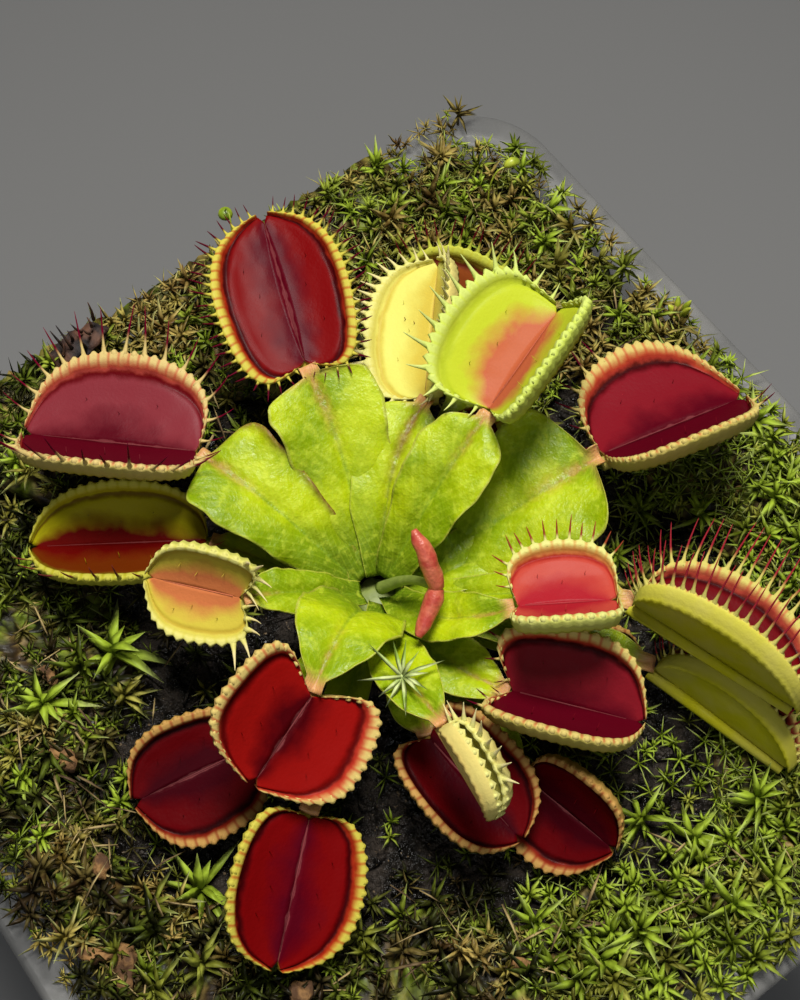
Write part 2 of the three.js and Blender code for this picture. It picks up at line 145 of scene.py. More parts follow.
for thing in (drill, blank):
    bpy.context.scene.collection.objects.link(thing)
cut = blank.modifiers.new("drains", "BOOLEAN")
cut.operation, cut.object, cut.solver = "DIFFERENCE", drill, "EXACT"
bpy.context.view_layer.update()
drilled = blank.evaluated_get(bpy.context.evaluated_depsgraph_get())
pot_mesh = bpy.data.meshes.new_from_object(drilled)
for thing in (drill, blank):
    bpy.data.objects.remove(thing)


def new_material(name, **settings):
    """A principled material; each setting is one of its sockets, with _ for the spaces."""
    material = bpy.data.materials.new(name)
    material.use_nodes = True
    shader = material.node_tree.nodes["Principled BSDF"]
    for key, value in settings.items():
        shader.inputs[key.replace("_", " ")].default_value = value
    return material, material.node_tree, shader


def add_node(tree, kind, inputs=(), **settings):
    """A node whose inputs are each fed by a socket or set to a value."""
    node = tree.nodes.new(kind)
    for key, value in settings.items():
        setattr(node, key, value)
    for key, value in dict(inputs).items():
        if isinstance(value, bpy.types.NodeSocket):
            tree.links.new(value, node.inputs[key])
        else:
            node.inputs[key].default_value = value
    return node


def mix_colours(share, first, second):
    tones = [t if isinstance(t, bpy.types.NodeSocket) else (*t, 1) for t in (first, second)]
    inputs = {0: share, 6: tones[0], 7: tones[1]}
    return add_node(share.id_data, "ShaderNodeMix", inputs, data_type="RGBA").outputs[2]


def sums(operation, *terms):
    inputs = dict(enumerate(terms))
    return add_node(terms[0].id_data, "ShaderNodeMath", inputs, operation=operation).outputs[0]


def ramp(socket, low, high, start=0.0, end=1.0):
    inputs = dict(enumerate((socket, low, high, start, end)))
    return add_node(socket.id_data, "ShaderNodeMapRange", inputs, interpolation_type="SMOOTHSTEP").outputs[0]


def kept(tree, key):
    return add_node(tree, "ShaderNodeAttribute", attribute_name=key).outputs["Fac"]


def grains(tree, scale, detail=2.0, kind="Noise"):
    inputs = {"Vector": add_node(tree, "ShaderNodeTexCoord").outputs["Object"], "Scale": scale,
              "Detail": detail}
    return add_node(tree, f"ShaderNodeTex{kind}", inputs).outputs[0]


def feed(socket, node, key="Base Color"):
    socket.id_data.links.new(socket, node.inputs[key])


def raise_bump(shader, height, strength, distance):
    inputs = {0: strength, 1: distance, 3: height}
    feed(add_node(height.id_data, "ShaderNodeBump", inputs).outputs[0], shader, "Normal")


def finish_piece(name, made, material, slot, *nodes):
    """Makes a piece from its mesh or from a bmesh that is still open, hangs it on the root body,
    and hides the part's nodes that it stands in for.
    """
    mesh = mesh_from(made, name) if isinstance(made, bmesh.types.BMesh) else made
    mesh.materials.append(material)
    mesh.shade_smooth()
    piece = bpy.data.objects.new(name, mesh)
    bpy.context.scene.collection.objects.link(piece)
    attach(piece, "root")
    if nodes:
        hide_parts(*nodes)
    return piece


plastic, tree, shader = new_material("clear_pot_plastic", Specular_IOR_Level=0.35)
haze = ramp(grains(tree, 60, 4), 0.35, 0.7)
smoke = mix_colours(haze, (0.16, 0.16, 0.155), (0.29, 0.285, 0.27))
feed(smoke, shader)
feed(ramp(haze, 0, 1, 0.32, 0.5), shader, "Alpha")
scuffs = grains(tree, 900, 3)
feed(ramp(scuffs, 0.3, 0.75, 0.28, 0.5), shader, "Roughness")
raise_bump(shader, scuffs, 0.08, 0.0002)
pot = finish_piece("pot_shell", pot_mesh, plastic, "pot_plastic", "pot")
pot.data.set_sharp_from_angle(angle=radians(40))


# The peat: one wet, nearly black body that fills the pot to just under the rim, with loose
# crumbs, bark bits and dead fibres lying on it where no moss has grown.
SOIL_TOP, SOIL_BUMP, GAP = -3.4, 0.35, 0.3
CRUMBS, CRUMB_FROM, FIBRES, FIBRE_FROM, LITTER_WIDTH = 620, 7, 170, 9, 34
ROUGH_HALF, BARK_HALF, TOP_RINGS, RING_STEP = 46, 45.6, 47, 0.021
BARK = [(5.5, -46, 2.3), (9.5, -43.5, 1.9), (12.5, -42, 2.5), (34, -11.5, 1.7), (-30, -36, 1.7),
        (-21, -41, 1.9), (40, -17, 1.5), (24, -30, 1.6), (-33, -37, 1.4), (38, -28, 1.3),
        (-9, -36, 1.9), (-17, -33, 1.5), (3, -39, 1.6)]


def ripple(x, y):
    return sin(x * 0.31 + 1.3) * cos(y * 0.27 - 0.4) * 0.6 + sin((x + y) * 0.53) * 0.4


def soil_top(x, y):
    bare = min(max((28 - hypot(x, y)) / 6, 0), 1)
    return POT_HEIGHT + SOIL_TOP + SOIL_BUMP * ripple(x, y) * bare


def crumble(spot):
    rough = noise(spot * 0.45) * 0.5 + noise(spot * 1.3) * 0.35
    if spot.z > POT_HEIGHT + SOIL_TOP - 0.5:
        edge = min(1, (ROUGH_HALF - max(abs(spot.x), abs(spot.y))) / 3)
        return Vector((spot.x, spot.y, soil_top(spot.x, spot.y) + rough * max(edge, 0)))
    shrink = 1 - 0.25 * abs(rough) / max(hypot(spot.x, spot.y), 1)
    return Vector((spot.x * shrink, spot.y * shrink, spot.z))


def fill_at(z):
    return side_at(z) - WALL - GAP


soil_low, soil_high = floor_top + GAP, POT_HEIGHT + SOIL_TOP
bm = square_body([
    (fill_at(soil_low) - 2.4, soil_low), (fill_at(soil_low + 3), soil_low + 3),
    *[(fill_at(z), z) for z in range(12, 84, 6)], (fill_at(soil_high) - 0.1, soil_high - 0.7),
    *[(fill_at(soil_high) * (0.995 - i * RING_STEP), soil_high) for i in range(TOP_RINGS)],
], crumble)

peat, tree, shader = new_material("wet_peat")
coarse = grains(tree, 420, 6)
lumps = grains(tree, 900, kind="Voronoi")
dark = mix_colours(ramp(coarse, 0.4, 0.66), (0.006, 0.005, 0.004), (0.026, 0.017, 0.010))
fleck = ramp(grains(tree, 1700, 2), 0.66, 0.74)
feed(mix_colours(fleck, dark, (0.16, 0.11, 0.06)), shader)
feed(ramp(coarse, 0.35, 0.7, 0.24, 0.9), shader, "Roughness")
raise_bump(shader, sums("SUBTRACT", coarse, lumps), 0.9, 0.0012)
finish_piece("peat_body", bm, peat, "peat", "soil")


def out_from_middle(heading, far):
    return far * cos(heading), far * sin(heading)


def turned(angle, axis):
    return Matrix.Rotation(angle, 4, axis)


draw = random.Random(5)
bm = bmesh.new()
for _ in range(CRUMBS):
    x, y = out_from_middle(draw.uniform(0, tau), CRUMB_FROM + LITTER_WIDTH * draw.random())
    size = draw.uniform(0.35, 1.25)
    spot = placed_at(x, y, soil_top(x, y) + size * 0.2)
    stretch = Matrix.Diagonal((1, draw.uniform(0.6, 1), draw.uniform(0.5, 0.9), 1))
    spin = turned(draw.uniform(0, 6), "Z") @ turned(draw.uniform(0, 2), "X")
    lump = bmesh.ops.create_icosphere(bm, subdivisions=1, radius=size * MM,
                                      matrix=spot @ spin @ stretch)["verts"]
    for vert in lump:
        vert.co += Vector([draw.uniform(-0.18, 0.18) * size * MM for _ in range(3)])
for _ in range(FIBRES):
    x, y = out_from_middle(draw.uniform(0, tau), FIBRE_FROM + LITTER_WIDTH * draw.random())
    tilt = turned(draw.uniform(-0.2, 0.2) + pi / 2, "X")
    length = draw.uniform(2.5, 7) * MM
    spot = placed_at(x, y, soil_top(x, y) + 0.55) @ turned(draw.uniform(0, 6), "Z") @ tilt
    bmesh.ops.create_cone(bm, cap_ends=True, segments=4, radius1=0.16 * MM, radius2=0.06 * MM,
                          depth=length, matrix=spot)
finish_piece("peat_crumbs", bm, peat, "peat")

bm = bmesh.new()
for x, y, size in BARK:
    spot = placed_at(x, y, POT_HEIGHT + 0.4)
    spin = turned(draw.uniform(0, 6), "Z") @ turned(draw.uniform(-0.4, 0.4), "X")
    chip = bmesh.ops.create_icosphere(bm, subdivisions=3, radius=0.8 * size * MM,
                                      matrix=spot @ spin @ Matrix.Diagonal((1, 0.6, 0.5, 1)))["verts"]
    for vert in chip:
        away = (vert.co - spot.translation).normalized()
        vert.co += away * (noise(vert.co * 700) * 0.6 + noise(vert.co * 2100) * 0.2) * size * MM
        vert.co.x, vert.co.y = (min(max(v, -BARK_HALF * MM), BARK_HALF * MM) for v in vert.co.xy)


def new_paint(name, given, made):
    """A shader node group, with the sockets it is fed by and the node that puts out its results."""
    paint = bpy.data.node_groups.new(name, "ShaderNodeTree")
    for way, sockets in (("INPUT", given), ("OUTPUT", made)):
        for key, kind in sockets.items():
            paint.interface.new_socket(key, in_out=way, socket_type=f"NodeSocket{kind}")
    fed = paint.nodes.new("NodeGroupInput").outputs
    return paint, fed, paint.nodes.new("NodeGroupOutput")


blotch_paint, given, result = new_paint(
    "blotch_paint", {"Scale": "Float", "Detail": "Float", "Low": "Float", "High": "Float",
                     "Dark": "Color", "Light": "Color"}, {"Colour": "Color", "Height": "Float"})
blotches = grains(blotch_paint, given["Scale"], given["Detail"])
spread = ramp(blotches, given["Low"], given["High"])
feed(mix_colours(spread, given["Dark"], given["Light"]), result, "Colour")
feed(blotches, result, "Height")


def blotched(tree, scale, detail, dark, light, low=0.35, high=0.65):
    values = {"Scale": scale, "Detail": detail, "Dark": (*dark, 1), "Light": (*light, 1), "Low": low,
              "High": high}
    return add_node(tree, "ShaderNodeGroup", values, node_tree=blotch_paint).outputs


def two_tones(name, roughness, bump, depth, *blotches):
    """A rough finish of two tones in blotches, the light ones standing proud."""
    material, tree, shader = new_material(name, Roughness=roughness)
    painted = blotched(tree, *blotches)
    feed(painted["Colour"], shader)
    raise_bump(shader, painted["Height"], bump, depth)
    return material


bark = two_tones("tan_bark", 0.85, 0.8, 0.0007, 700, 5, (0.07, 0.030, 0.009), (0.30, 0.155, 0.05))
finish_piece("bark_bits", bm, bark, "peat")


# The moss: living star moss in a broken ring round the plant, each patch a lumpy mat on the
# peat, near black in its hollows and paler on its crests as painted shade and light, grown over
# with shoots, every one a short stem with whorls of slender leaves.
# Dry leaves and straw lie among them, and on the left it creeps out over the rim.
MOSS_RISE, SPILL_EDGE, MOSS_LIMIT = 3.4, 49.6, 49.8
MOSS_FROM, CLOSEST, STRAW_FROM, STRAWS = 14, 0.15, 25, 520
SHOOT_SIZES = [(6.4, 1.5), (5, 6), (3.8, 15), (2.9, 32)]

# A patch: its first and last heading, where it begins, height, seed, whether it spills over the
# rim, and how far its shoots pass the mat. A spot or star: x, y, and its radius or size.
PATCHES = [
    ("moss_back", 112, 141, 30, 0.65, 11, False, 2.2), ("moss_right", 56, 110, 34, 1, 23, False, 2.2),
    ("moss_far_right", 2, 54, 36, 0.45, 37, False, 3.4),
    ("moss_front_right", -52, 0, 31, 0.9, 41, False, 3.6),
    ("moss_front", -100, -54, 36, 0.5, 59, False, 2.6),
    ("moss_front_left", -144, -102, 31, 0.6, 61, False, 3.4),
    ("moss_left", -216, -146, 33, 0.8, 79, True, 3.4),
]
DRY_SPOTS = [
    (-47.6, 1.3, 4), (-44.2, -2.9, 4), (-13.1, -36, 2.6), (-0.8, -41.2, 2.4), (-49.5, 37.5, 4),
    (-20.6, 49.1, 3.5), (-16.8, 34.1, 5), (-4.4, 32.7, 4), (7.3, -46.1, 2.6), (11.7, -35.4, 2.2),
    (31.7, -14.7, 3), (6, -35, 2),
]
MAT_COLUMNS, MAT_ROWS = 88, 24
BIG_STARS = [
    (-15.3, -26.2, 11), (9.9, -32.2, 9.5), (-39.2, -23.3, 6.6), (-28.8, -28.8, 6), (-29.3, -0.7, 5),
    (-6.1, -30.4, 8), (-14.5, -34.9, 8.8), (-38.2, 39.4, 5.4), (-36.4, 44.2, 6.6), (-44.6, 35.8, 7.4),
    (-43.6, 24.5, 5.5), (4.5, 28.6, 6.6), (5, 43.5, 7.7), (34.8, 9.8, 9), (35.8, 17, 8.2),
    (30.3, 7, 7), (38.6, -1, 8), (42, 8.1, 8), (44.5, 2, 6), (38.4, -5.7, 8), (9, 33.2, 7),
    (15.6, 36.4, 7), (9.6, 42.7, 6), (-30.4, 43.5, 6.4), (-3, -42, 5), (-2, -34, 5.6), (0.5, 39.2, 6),
    (-40.5, -14, 7), (-44, -31, 6), (33, 33, 7), (41, 30, 6.5), (40, -30, 7), (28, -38, 6.5),
    (-24, -40, 6), (-40, -40, 6), (24, 43, 6.5), (-16, 43, 6),
]
LOW_TRAPS = [(-31, -16, 9), (-24, -19, 9), (6, -25, 8), (15, -25, 7), (0, -27, 6), (17, -8, 7), (25, 1, 8),
             (21, 6, 6), (15, 14, 4), (27, 21, 9), (29, 17, 8), (3, 33, 10), (-33, 9, 9), (-27, 24, 9),
             (-19, 20, 9), (-12, 24, 8)]


def reach_at(heading):
    half = side_at(POT_HEIGHT + SOIL_TOP) - WALL - GAP - 0.4
    c, s = abs(cos(heading)), abs(sin(heading))
    middle = half - CORNER
    straight = half / max(c, s)
    if straight * min(c, s) <= middle:
        return straight
    along = middle * (c + s)
    return along + sqrt(along * along - 2 * middle * middle + CORNER * CORNER)


def moss_inner(inner, heading, seed):
    return inner + 2.2 * sin(heading * 9 + seed)


def moss_top(lift, x, y, share):
    swell = sin(share * pi * 0.62) * MOSS_RISE * lift
    return soil_top(x, y) + 1 + swell + 0.45 * ripple(x * 2.3 + 5, y * 2.1)


def stands_in(places, x, y, spare=0):
    return any(hypot(x - a, y - b) < r + spare for a, b, r in places)


def arrays_of(bm):
    bmesh.ops.recalc_face_normals(bm, faces=bm.faces)
    bmesh.ops.triangulate(bm, faces=bm.faces)
    bm.verts.index_update()
    points = np.array([v.co for v in bm.verts])
    corners = np.array([[v.index for v in f.verts] for f in bm.faces])
    bm.free()
    return points, corners


def moss_leaf(bm, length, width, droop):
    """A slender keeled leaf that stands on the origin, widest low down, and bends over."""
    upright = Matrix.Translation((0, 0, length / 2))
    leaf = bmesh.ops.create_cone(bm, cap_ends=True, segments=3, radius1=width * 0.6, radius2=0.003,
                                 depth=length, matrix=upright)["verts"]
    faces = list({f for v in leaf for f in v.link_faces})
    edges = list({e for v in leaf for e in v.link_edges})
    cut = bmesh.ops.bisect_plane(bm, geom=leaf + edges + faces, plane_co=(0, 0, 0.42 * length),
                                 plane_no=(0, 0, 1), dist=1e-5)["geom_cut"]
    leaf += corners_in(cut)
    for vert in leaf:
        share = vert.co.z / length
        x, y = 0.4 * vert.co.x, vert.co.y * (1 + 1.3 * sin(pi * min(share * 1.2, 1)))
        angle, bend = droop * share, length / droop
        vert.co = Vector((bend * (1 - cos(angle)) + x * cos(angle), y,
                          bend * sin(angle) - x * sin(angle)))
    return leaf


def moss_shoot(draw, whorls, slim):
    """One shoot about 1 across, of whorls given as leaf count, length, rise in degrees, height."""
    bm = bmesh.new()
    bmesh.ops.create_cone(bm, cap_ends=True, segments=3, radius1=0.045, radius2=0.02, depth=0.5,
                          matrix=Matrix.Translation((0, 0, -0.2)))
    for count, length, rise, height in whorls:
        start = draw.uniform(0, 6)
        for i in range(count):
            leaf = moss_leaf(bm, length * draw.uniform(0.6, 1.2), slim * draw.uniform(0.8, 1.2),
                             draw.uniform(0.25, 1.1) * draw.choice((1, 1, 1, -0.5)))
            turn = start + tau * i / count + draw.uniform(-0.45, 0.45)
            tilt = radians(90 - rise - draw.uniform(-18, 18))
            spot = Matrix.Translation((0, 0, height + draw.uniform(-0.04, 0.04)))
            bmesh.ops.transform(bm, matrix=spot @ turned(turn, "Z") @ turned(tilt, "Y"), verts=leaf)
    return arrays_of(bm)


draw = random.Random(17)
STARS = [moss_shoot(draw, ((6, 0.58, 10, -0.08), (5, 0.52, 35, 0.0), (3, 0.4, 65, 0.06)), 0.07)
         for _ in range(10)]
TUFTS = [moss_shoot(draw, ((5, 0.55, 20, -0.1), (3, 0.5, 55, 0.0)), 0.075) for _ in range(10)]
WISPS = [moss_shoot(draw, ((6, 0.85, 38, 0),), 0.05) for _ in range(8)]
SHOOTS = STARS + TUFTS + WISPS


def froth(x, y):
    return (0.8 * noise(Vector((x, y, 0)) * 0.7) + 0.9 * noise(Vector((x, y, 9)) * 1.7)
            + 0.6 * noise(Vector((x, y, 5)) * 3.6))


def moss_mat(first, last, inner, lift, seed, spills):
    """A closed slab between two headings, lumpy on top, that crosses the rim where it spills."""
    bm = bmesh.new()
    rows = MAT_ROWS + (4 if spills else 0)
    bmesh.ops.create_grid(bm, x_segments=MAT_COLUMNS, y_segments=rows, size=0.5)
    shell = bmesh.ops.extrude_face_region(bm, geom=list(bm.faces), use_keep_orig=True)["geom"]
    raised = set(corners_in(shell))
    for vert in list(bm.verts):
        row = round((vert.co.y + 0.5) * rows)
        heading = radians(first + (last - first) * (vert.co.x + 0.5))
        near = moss_inner(inner, heading, seed)
        share = min(row / MAT_ROWS, 1) * (0.94 if spills and row <= MAT_ROWS else 1)
        far = near + (reach_at(heading) - near) * share
        x, y = out_from_middle(heading, far)
        over = max(row - MAT_ROWS - 1, 0) / 3 if spills else 0
        if over:
            ragged = 1.6 * abs(noise(Vector((y * 0.5, 3, seed))))
            x *= 1 + ((SPILL_EDGE - ragged) / abs(x) - 1) * over
        low = POT_HEIGHT + GAP if spills and row > MAT_ROWS else soil_top(x, y) + GAP
        crest = moss_top(lift, x, y, share) * (1 - over) + (POT_HEIGHT + 0.9) * over
        bump = froth(x, y)
        edge = min(1, 4 * share, 12 - 12 * abs(2 * (vert.co.x + 0.5) - 1))
        high = max(crest + bump * edge, low + 0.4)
        vert.co = Vector((x, y, high if vert in raised else low))
    return arrays_of(bm)


def scatter(name, mat, placed):
    """Joins the mat with turned copies of the shoots; tint, straw and tip are kept for the paint.
    On the mat, tint and tip follow its lumps: painted shade in the hollows, painted light on the crests.
    """
    points, corners = [mat[0]], [mat[1]]
    crests = np.array([froth(x, y) for x, y, _ in mat[0]])
    dried = np.array([noise(Vector((x, y, 3)) * 0.5) for x, y, _ in mat[0]])
    # The mat's tint and tip come from its lump heights: painted shade in the hollows, painted light on the
    # crests.
    marks = {"tint": [np.clip(0.12 + 0.7 * crests, 0, 0.7)], "straw": [np.clip(0.45 + 1.5 * dried, 0, 1)],
             "tip": [np.clip(crests, 0, 0.6)]}
    count = len(mat[0])
    for shape, spot, size, turn, lean, shade, dry in placed:
        local, faces = SHOOTS[shape]
        matrix = turned(turn, "Z") @ turned(lean, "X") @ Matrix.Scale(size, 4)
        points.append(local @ np.array(matrix.to_3x3()).T + np.array(spot))
        corners.append(faces + count)
        count += len(local)
        marks["tint"].append(np.full(len(local), shade))
        marks["straw"].append(np.full(len(local), dry))
        # tip: how far out from the shoot's middle; the paler tips are partly their own young colour, partly
        # a painted highlight.
        marks["tip"].append(np.clip(np.linalg.norm(local * (1, 1, 0.8), axis=1) / 0.55, 0, 1))
    mesh = bpy.data.meshes.new(name)
    mesh.from_pydata((np.concatenate(points) * MM).tolist(), [], np.concatenate(corners).tolist())
    for key, values in marks.items():
        layer = mesh.attributes.new(key, "FLOAT", "POINT")
        layer.data.foreach_set("value", np.concatenate(values).astype(np.float32))
    mesh.update()
    return mesh


def ground_axes(x, y):
    """How far a point lies to the right of the pot's middle, and how far to the back."""
    along, aside = 0.595, 0.804
    return along * x + aside * y, along * y - aside * x


def moss_tone(x, y, draw):
    """Lime on the right, deep green on the left, brown at the front, olive and tan at the back; the
    darkest tones, at the front and left, are partly painted shade.
    """
    across, away = ground_axes(x, y)
    if stands_in(DRY_SPOTS, x, y):
        return draw.uniform(0.6, 1), draw.uniform(0.75, 1)
    if away > 30:
        return draw.uniform(0.35, 0.95), draw.choice((0, 0.15, 0.5, 0.8, 0.9))
    if across > 12:
        return draw.uniform(0.45, 1.0), draw.choice((0, 0, 0, 0.1, 0.4))
    if away < -24:
        return draw.choice((0.06, 0.1, 0.16, 0.24, 0.55)), draw.choice((0, 0.1, 0.3, 0.85))
    return draw.choice((0.08, 0.14, 0.22, 0.4, 0.75)), draw.choice((0, 0, 0.15, 0.6))


def moss_cover(x, y):
    """The share of shoots that stand at a place: dense on the right, patchy at left and front."""
    across, away = ground_axes(x, y)
    patchy = noise(Vector((x, y, 4)) * 0.13) + 0.6 * noise(Vector((x, y, 8)) * 0.33)
    base = 1.1 if away > 28 or across > 12 else 0.6 if away < -24 else 0.62
    return base + 0.9 * patchy


moss, tree, shader = new_material("star_moss", Specular_IOR_Level=0.2)
tint, straw, tip = (kept(tree, key) for key in ("tint", "straw", "tip"))
mottle = grains(tree, 500, 4)
# Low tones fall to near black: in the mat's hollows this is painted shade, and on dark shoots at the front
# and left it is partly painted shade.
uneven = sums("ADD", tint, ramp(mottle, 0.3, 0.7, -0.22, 0.22))
deep = mix_colours(ramp(uneven, 0.0, 0.5), (0.012, 0.013, 0.003), (0.11, 0.15, 0.008))
green = mix_colours(ramp(uneven, 0.45, 1.0), deep, (0.30, 0.41, 0.028))
dry = mix_colours(ramp(mottle, 0.35, 0.65), (0.10, 0.05, 0.012), (0.44, 0.31, 0.085))
dried = mix_colours(sums("MULTIPLY", tint, 1.4), (0.02, 0.012, 0.006), dry)
body = mix_colours(straw, green, dried)
# Shoot tips and mat crests turn pale: on the shoots partly the paler colour of young tips, partly a painted
# highlight; on the mat's crests, painted light.
light = sums("MULTIPLY", sums("MULTIPLY", tip, tip), tint)
pale_lit_tips = mix_colours(ramp(light, 0.1, 1.0, 0.0, 0.8), body, (0.62, 0.68, 0.27))
feed(pale_lit_tips, shader)
feed(ramp(mottle, 0.3, 0.7, 0.38, 0.65), shader, "Roughness")
raise_bump(shader, mottle, 0.5, 0.0004)

draw = random.Random(29)
for name, first, last, inner, lift, seed, spills, over in PATCHES:
    placed, taken = [], []
    stars = [s for s in BIG_STARS if (degrees(atan2(s[1], s[0])) - first) % 360 < last - first]
    wanted = [(x, y, size) for x, y, size in stars]
    for size, count in SHOOT_SIZES:
        for _ in range(int((last - first) * count)):
            heading = radians(draw.uniform(first - (6 if spills else 0), last))
            past = (SPILL_EDGE - 1) / max(abs(cos(heading)), 0.5)
            outer = past if spills else reach_at(heading) + over
            far = sqrt(draw.uniform(MOSS_FROM ** 2, outer ** 2))
            wanted.append((*out_from_middle(heading, far), size * draw.uniform(0.85, 1.2)))
    for number, (x, y, size) in enumerate(wanted):
        heading, far = atan2(y, x), hypot(x, y)
        near, edge = moss_inner(inner, heading, seed), reach_at(heading)
        if number >= len(stars):
            if draw.random() > moss_cover(x, y) or (far < near - 1 and draw.random() < 0.86):
                continue
            if any((x - a) ** 2 + (y - b) ** 2 < (CLOSEST * (size + other)) ** 2 for a, b, other in taken):
                continue
            if stands_in(LOW_TRAPS, x, y):
                size = min(size, 3)
        share = (far - near) / max(edge - near, 1)
        z = soil_top(x, y) + 0.4 if share < 0 else moss_top(lift, x, y, min(share, 1)) + 0.5
        if far > edge - 0.6:
            size *= 0.8
            z = POT_HEIGHT + (1.3 if spills else 0.2 * size)
        z += 0.16 * size
        margin = MOSS_LIMIT - size * 0.5
        x, y = (min(max(v, -margin), margin) for v in (x, y))
        taken.append((x, y, size))
        shade, dry_share = moss_tone(x, y, draw)
        if number < len(stars):
            shade, dry_share = draw.uniform(0.7, 1), 0
        starry = size > 3.4 or draw.random() < 0.2
        shape = draw.randrange(len(STARS)) if starry else len(STARS) + draw.randrange(len(TUFTS + WISPS))
        placed.append((shape, Vector((x, y, z)), size, draw.uniform(0, 6.3), draw.uniform(-0.5, 0.5),
                       shade, dry_share))
    mat = moss_mat(first, last, inner, lift, seed, spills)
    finish_piece(f"{name}_shoots", scatter(f"{name}_shoots", mat, placed), moss, "moss_green", name)

bm = bmesh.new()
for _ in range(STRAWS):
    heading = draw.uniform(0, tau)
    far = sqrt(draw.uniform(STRAW_FROM ** 2, (reach_at(heading) - 2) ** 2))
    x, y = out_from_middle(heading, far)
    length = draw.uniform(2, 6.5)
    if stands_in(LOW_TRAPS, x, y, 2):
        continue
    straw_bit = moss_leaf(bm, length, draw.uniform(0.1, 0.26), draw.uniform(0.3, 1.3))
    spot = Matrix.Translation((x, y, POT_HEIGHT + draw.uniform(-0.6, 1.6)))
    lying = spot @ turned(draw.uniform(0, 6.3), "Z") @ turned(draw.uniform(1.0, 1.7), "Y")
    bmesh.ops.transform(bm, matrix=Matrix.Scale(MM, 4) @ lying, verts=straw_bit)
straw_dry, tree, shader = new_material("dry_straw", Roughness=0.7)
faded = blotched(tree, 240, 3, (0.07, 0.035, 0.012), (0.42, 0.31, 0.12), 0.35, 0.62)
feed(faded["Colour"], shader)
raise_bump(shader, grains(tree, 1500, 3), 0.4, 0.0003)
finish_piece("moss_straw", bm, straw_dry, "moss_green")


# The crown: the short pale stem at the middle of the rosette, half sunk in the peat, that
# every leaf grows from. It shows only between the leaf bases.
CROWN = Vector((-3.5, -1, POT_HEIGHT))
CROWN_RADIUS, CROWN_FLAT, CROWN_RISE = 3.1, 0.49, 1.9
bm = bmesh.new()
bmesh.ops.create_uvsphere(bm, u_segments=32, v_segments=16, radius=CROWN_RADIUS * MM)
for vert in bm.verts:
    ridge = 1 + 0.06 * cos(9 * atan2(vert.co.y, vert.co.x))
    vert.co = Vector((vert.co.x * ridge + CROWN.x * MM, vert.co.y * ridge + CROWN.y * MM,
                      vert.co.z * CROWN_FLAT + (POT_HEIGHT + SOIL_TOP + CROWN_RISE) * MM))
crown, tree, shader = new_material("pale_crown", Roughness=0.5)
streak = grains(tree, 800, 3)
feed(mix_colours(streak, (0.09, 0.13, 0.02), (0.30, 0.36, 0.08)), shader)
raise_bump(shader, streak, 0.3, 0.0003)
finish_piece("crown_stem", bm, crown, "leaf_green", "crown")


# The leaves: each is one flat green stalk with wide wings, soft and faintly veined, and at its
# end a trap of two lobes hinged on the midrib. All grow from the crown, in three tiers.
Leaf = namedtuple("Leaf", "name neck hinge heading pitch roll gape left right swell swell_tip "
                          "tooth wing hip share rise sway tier style")

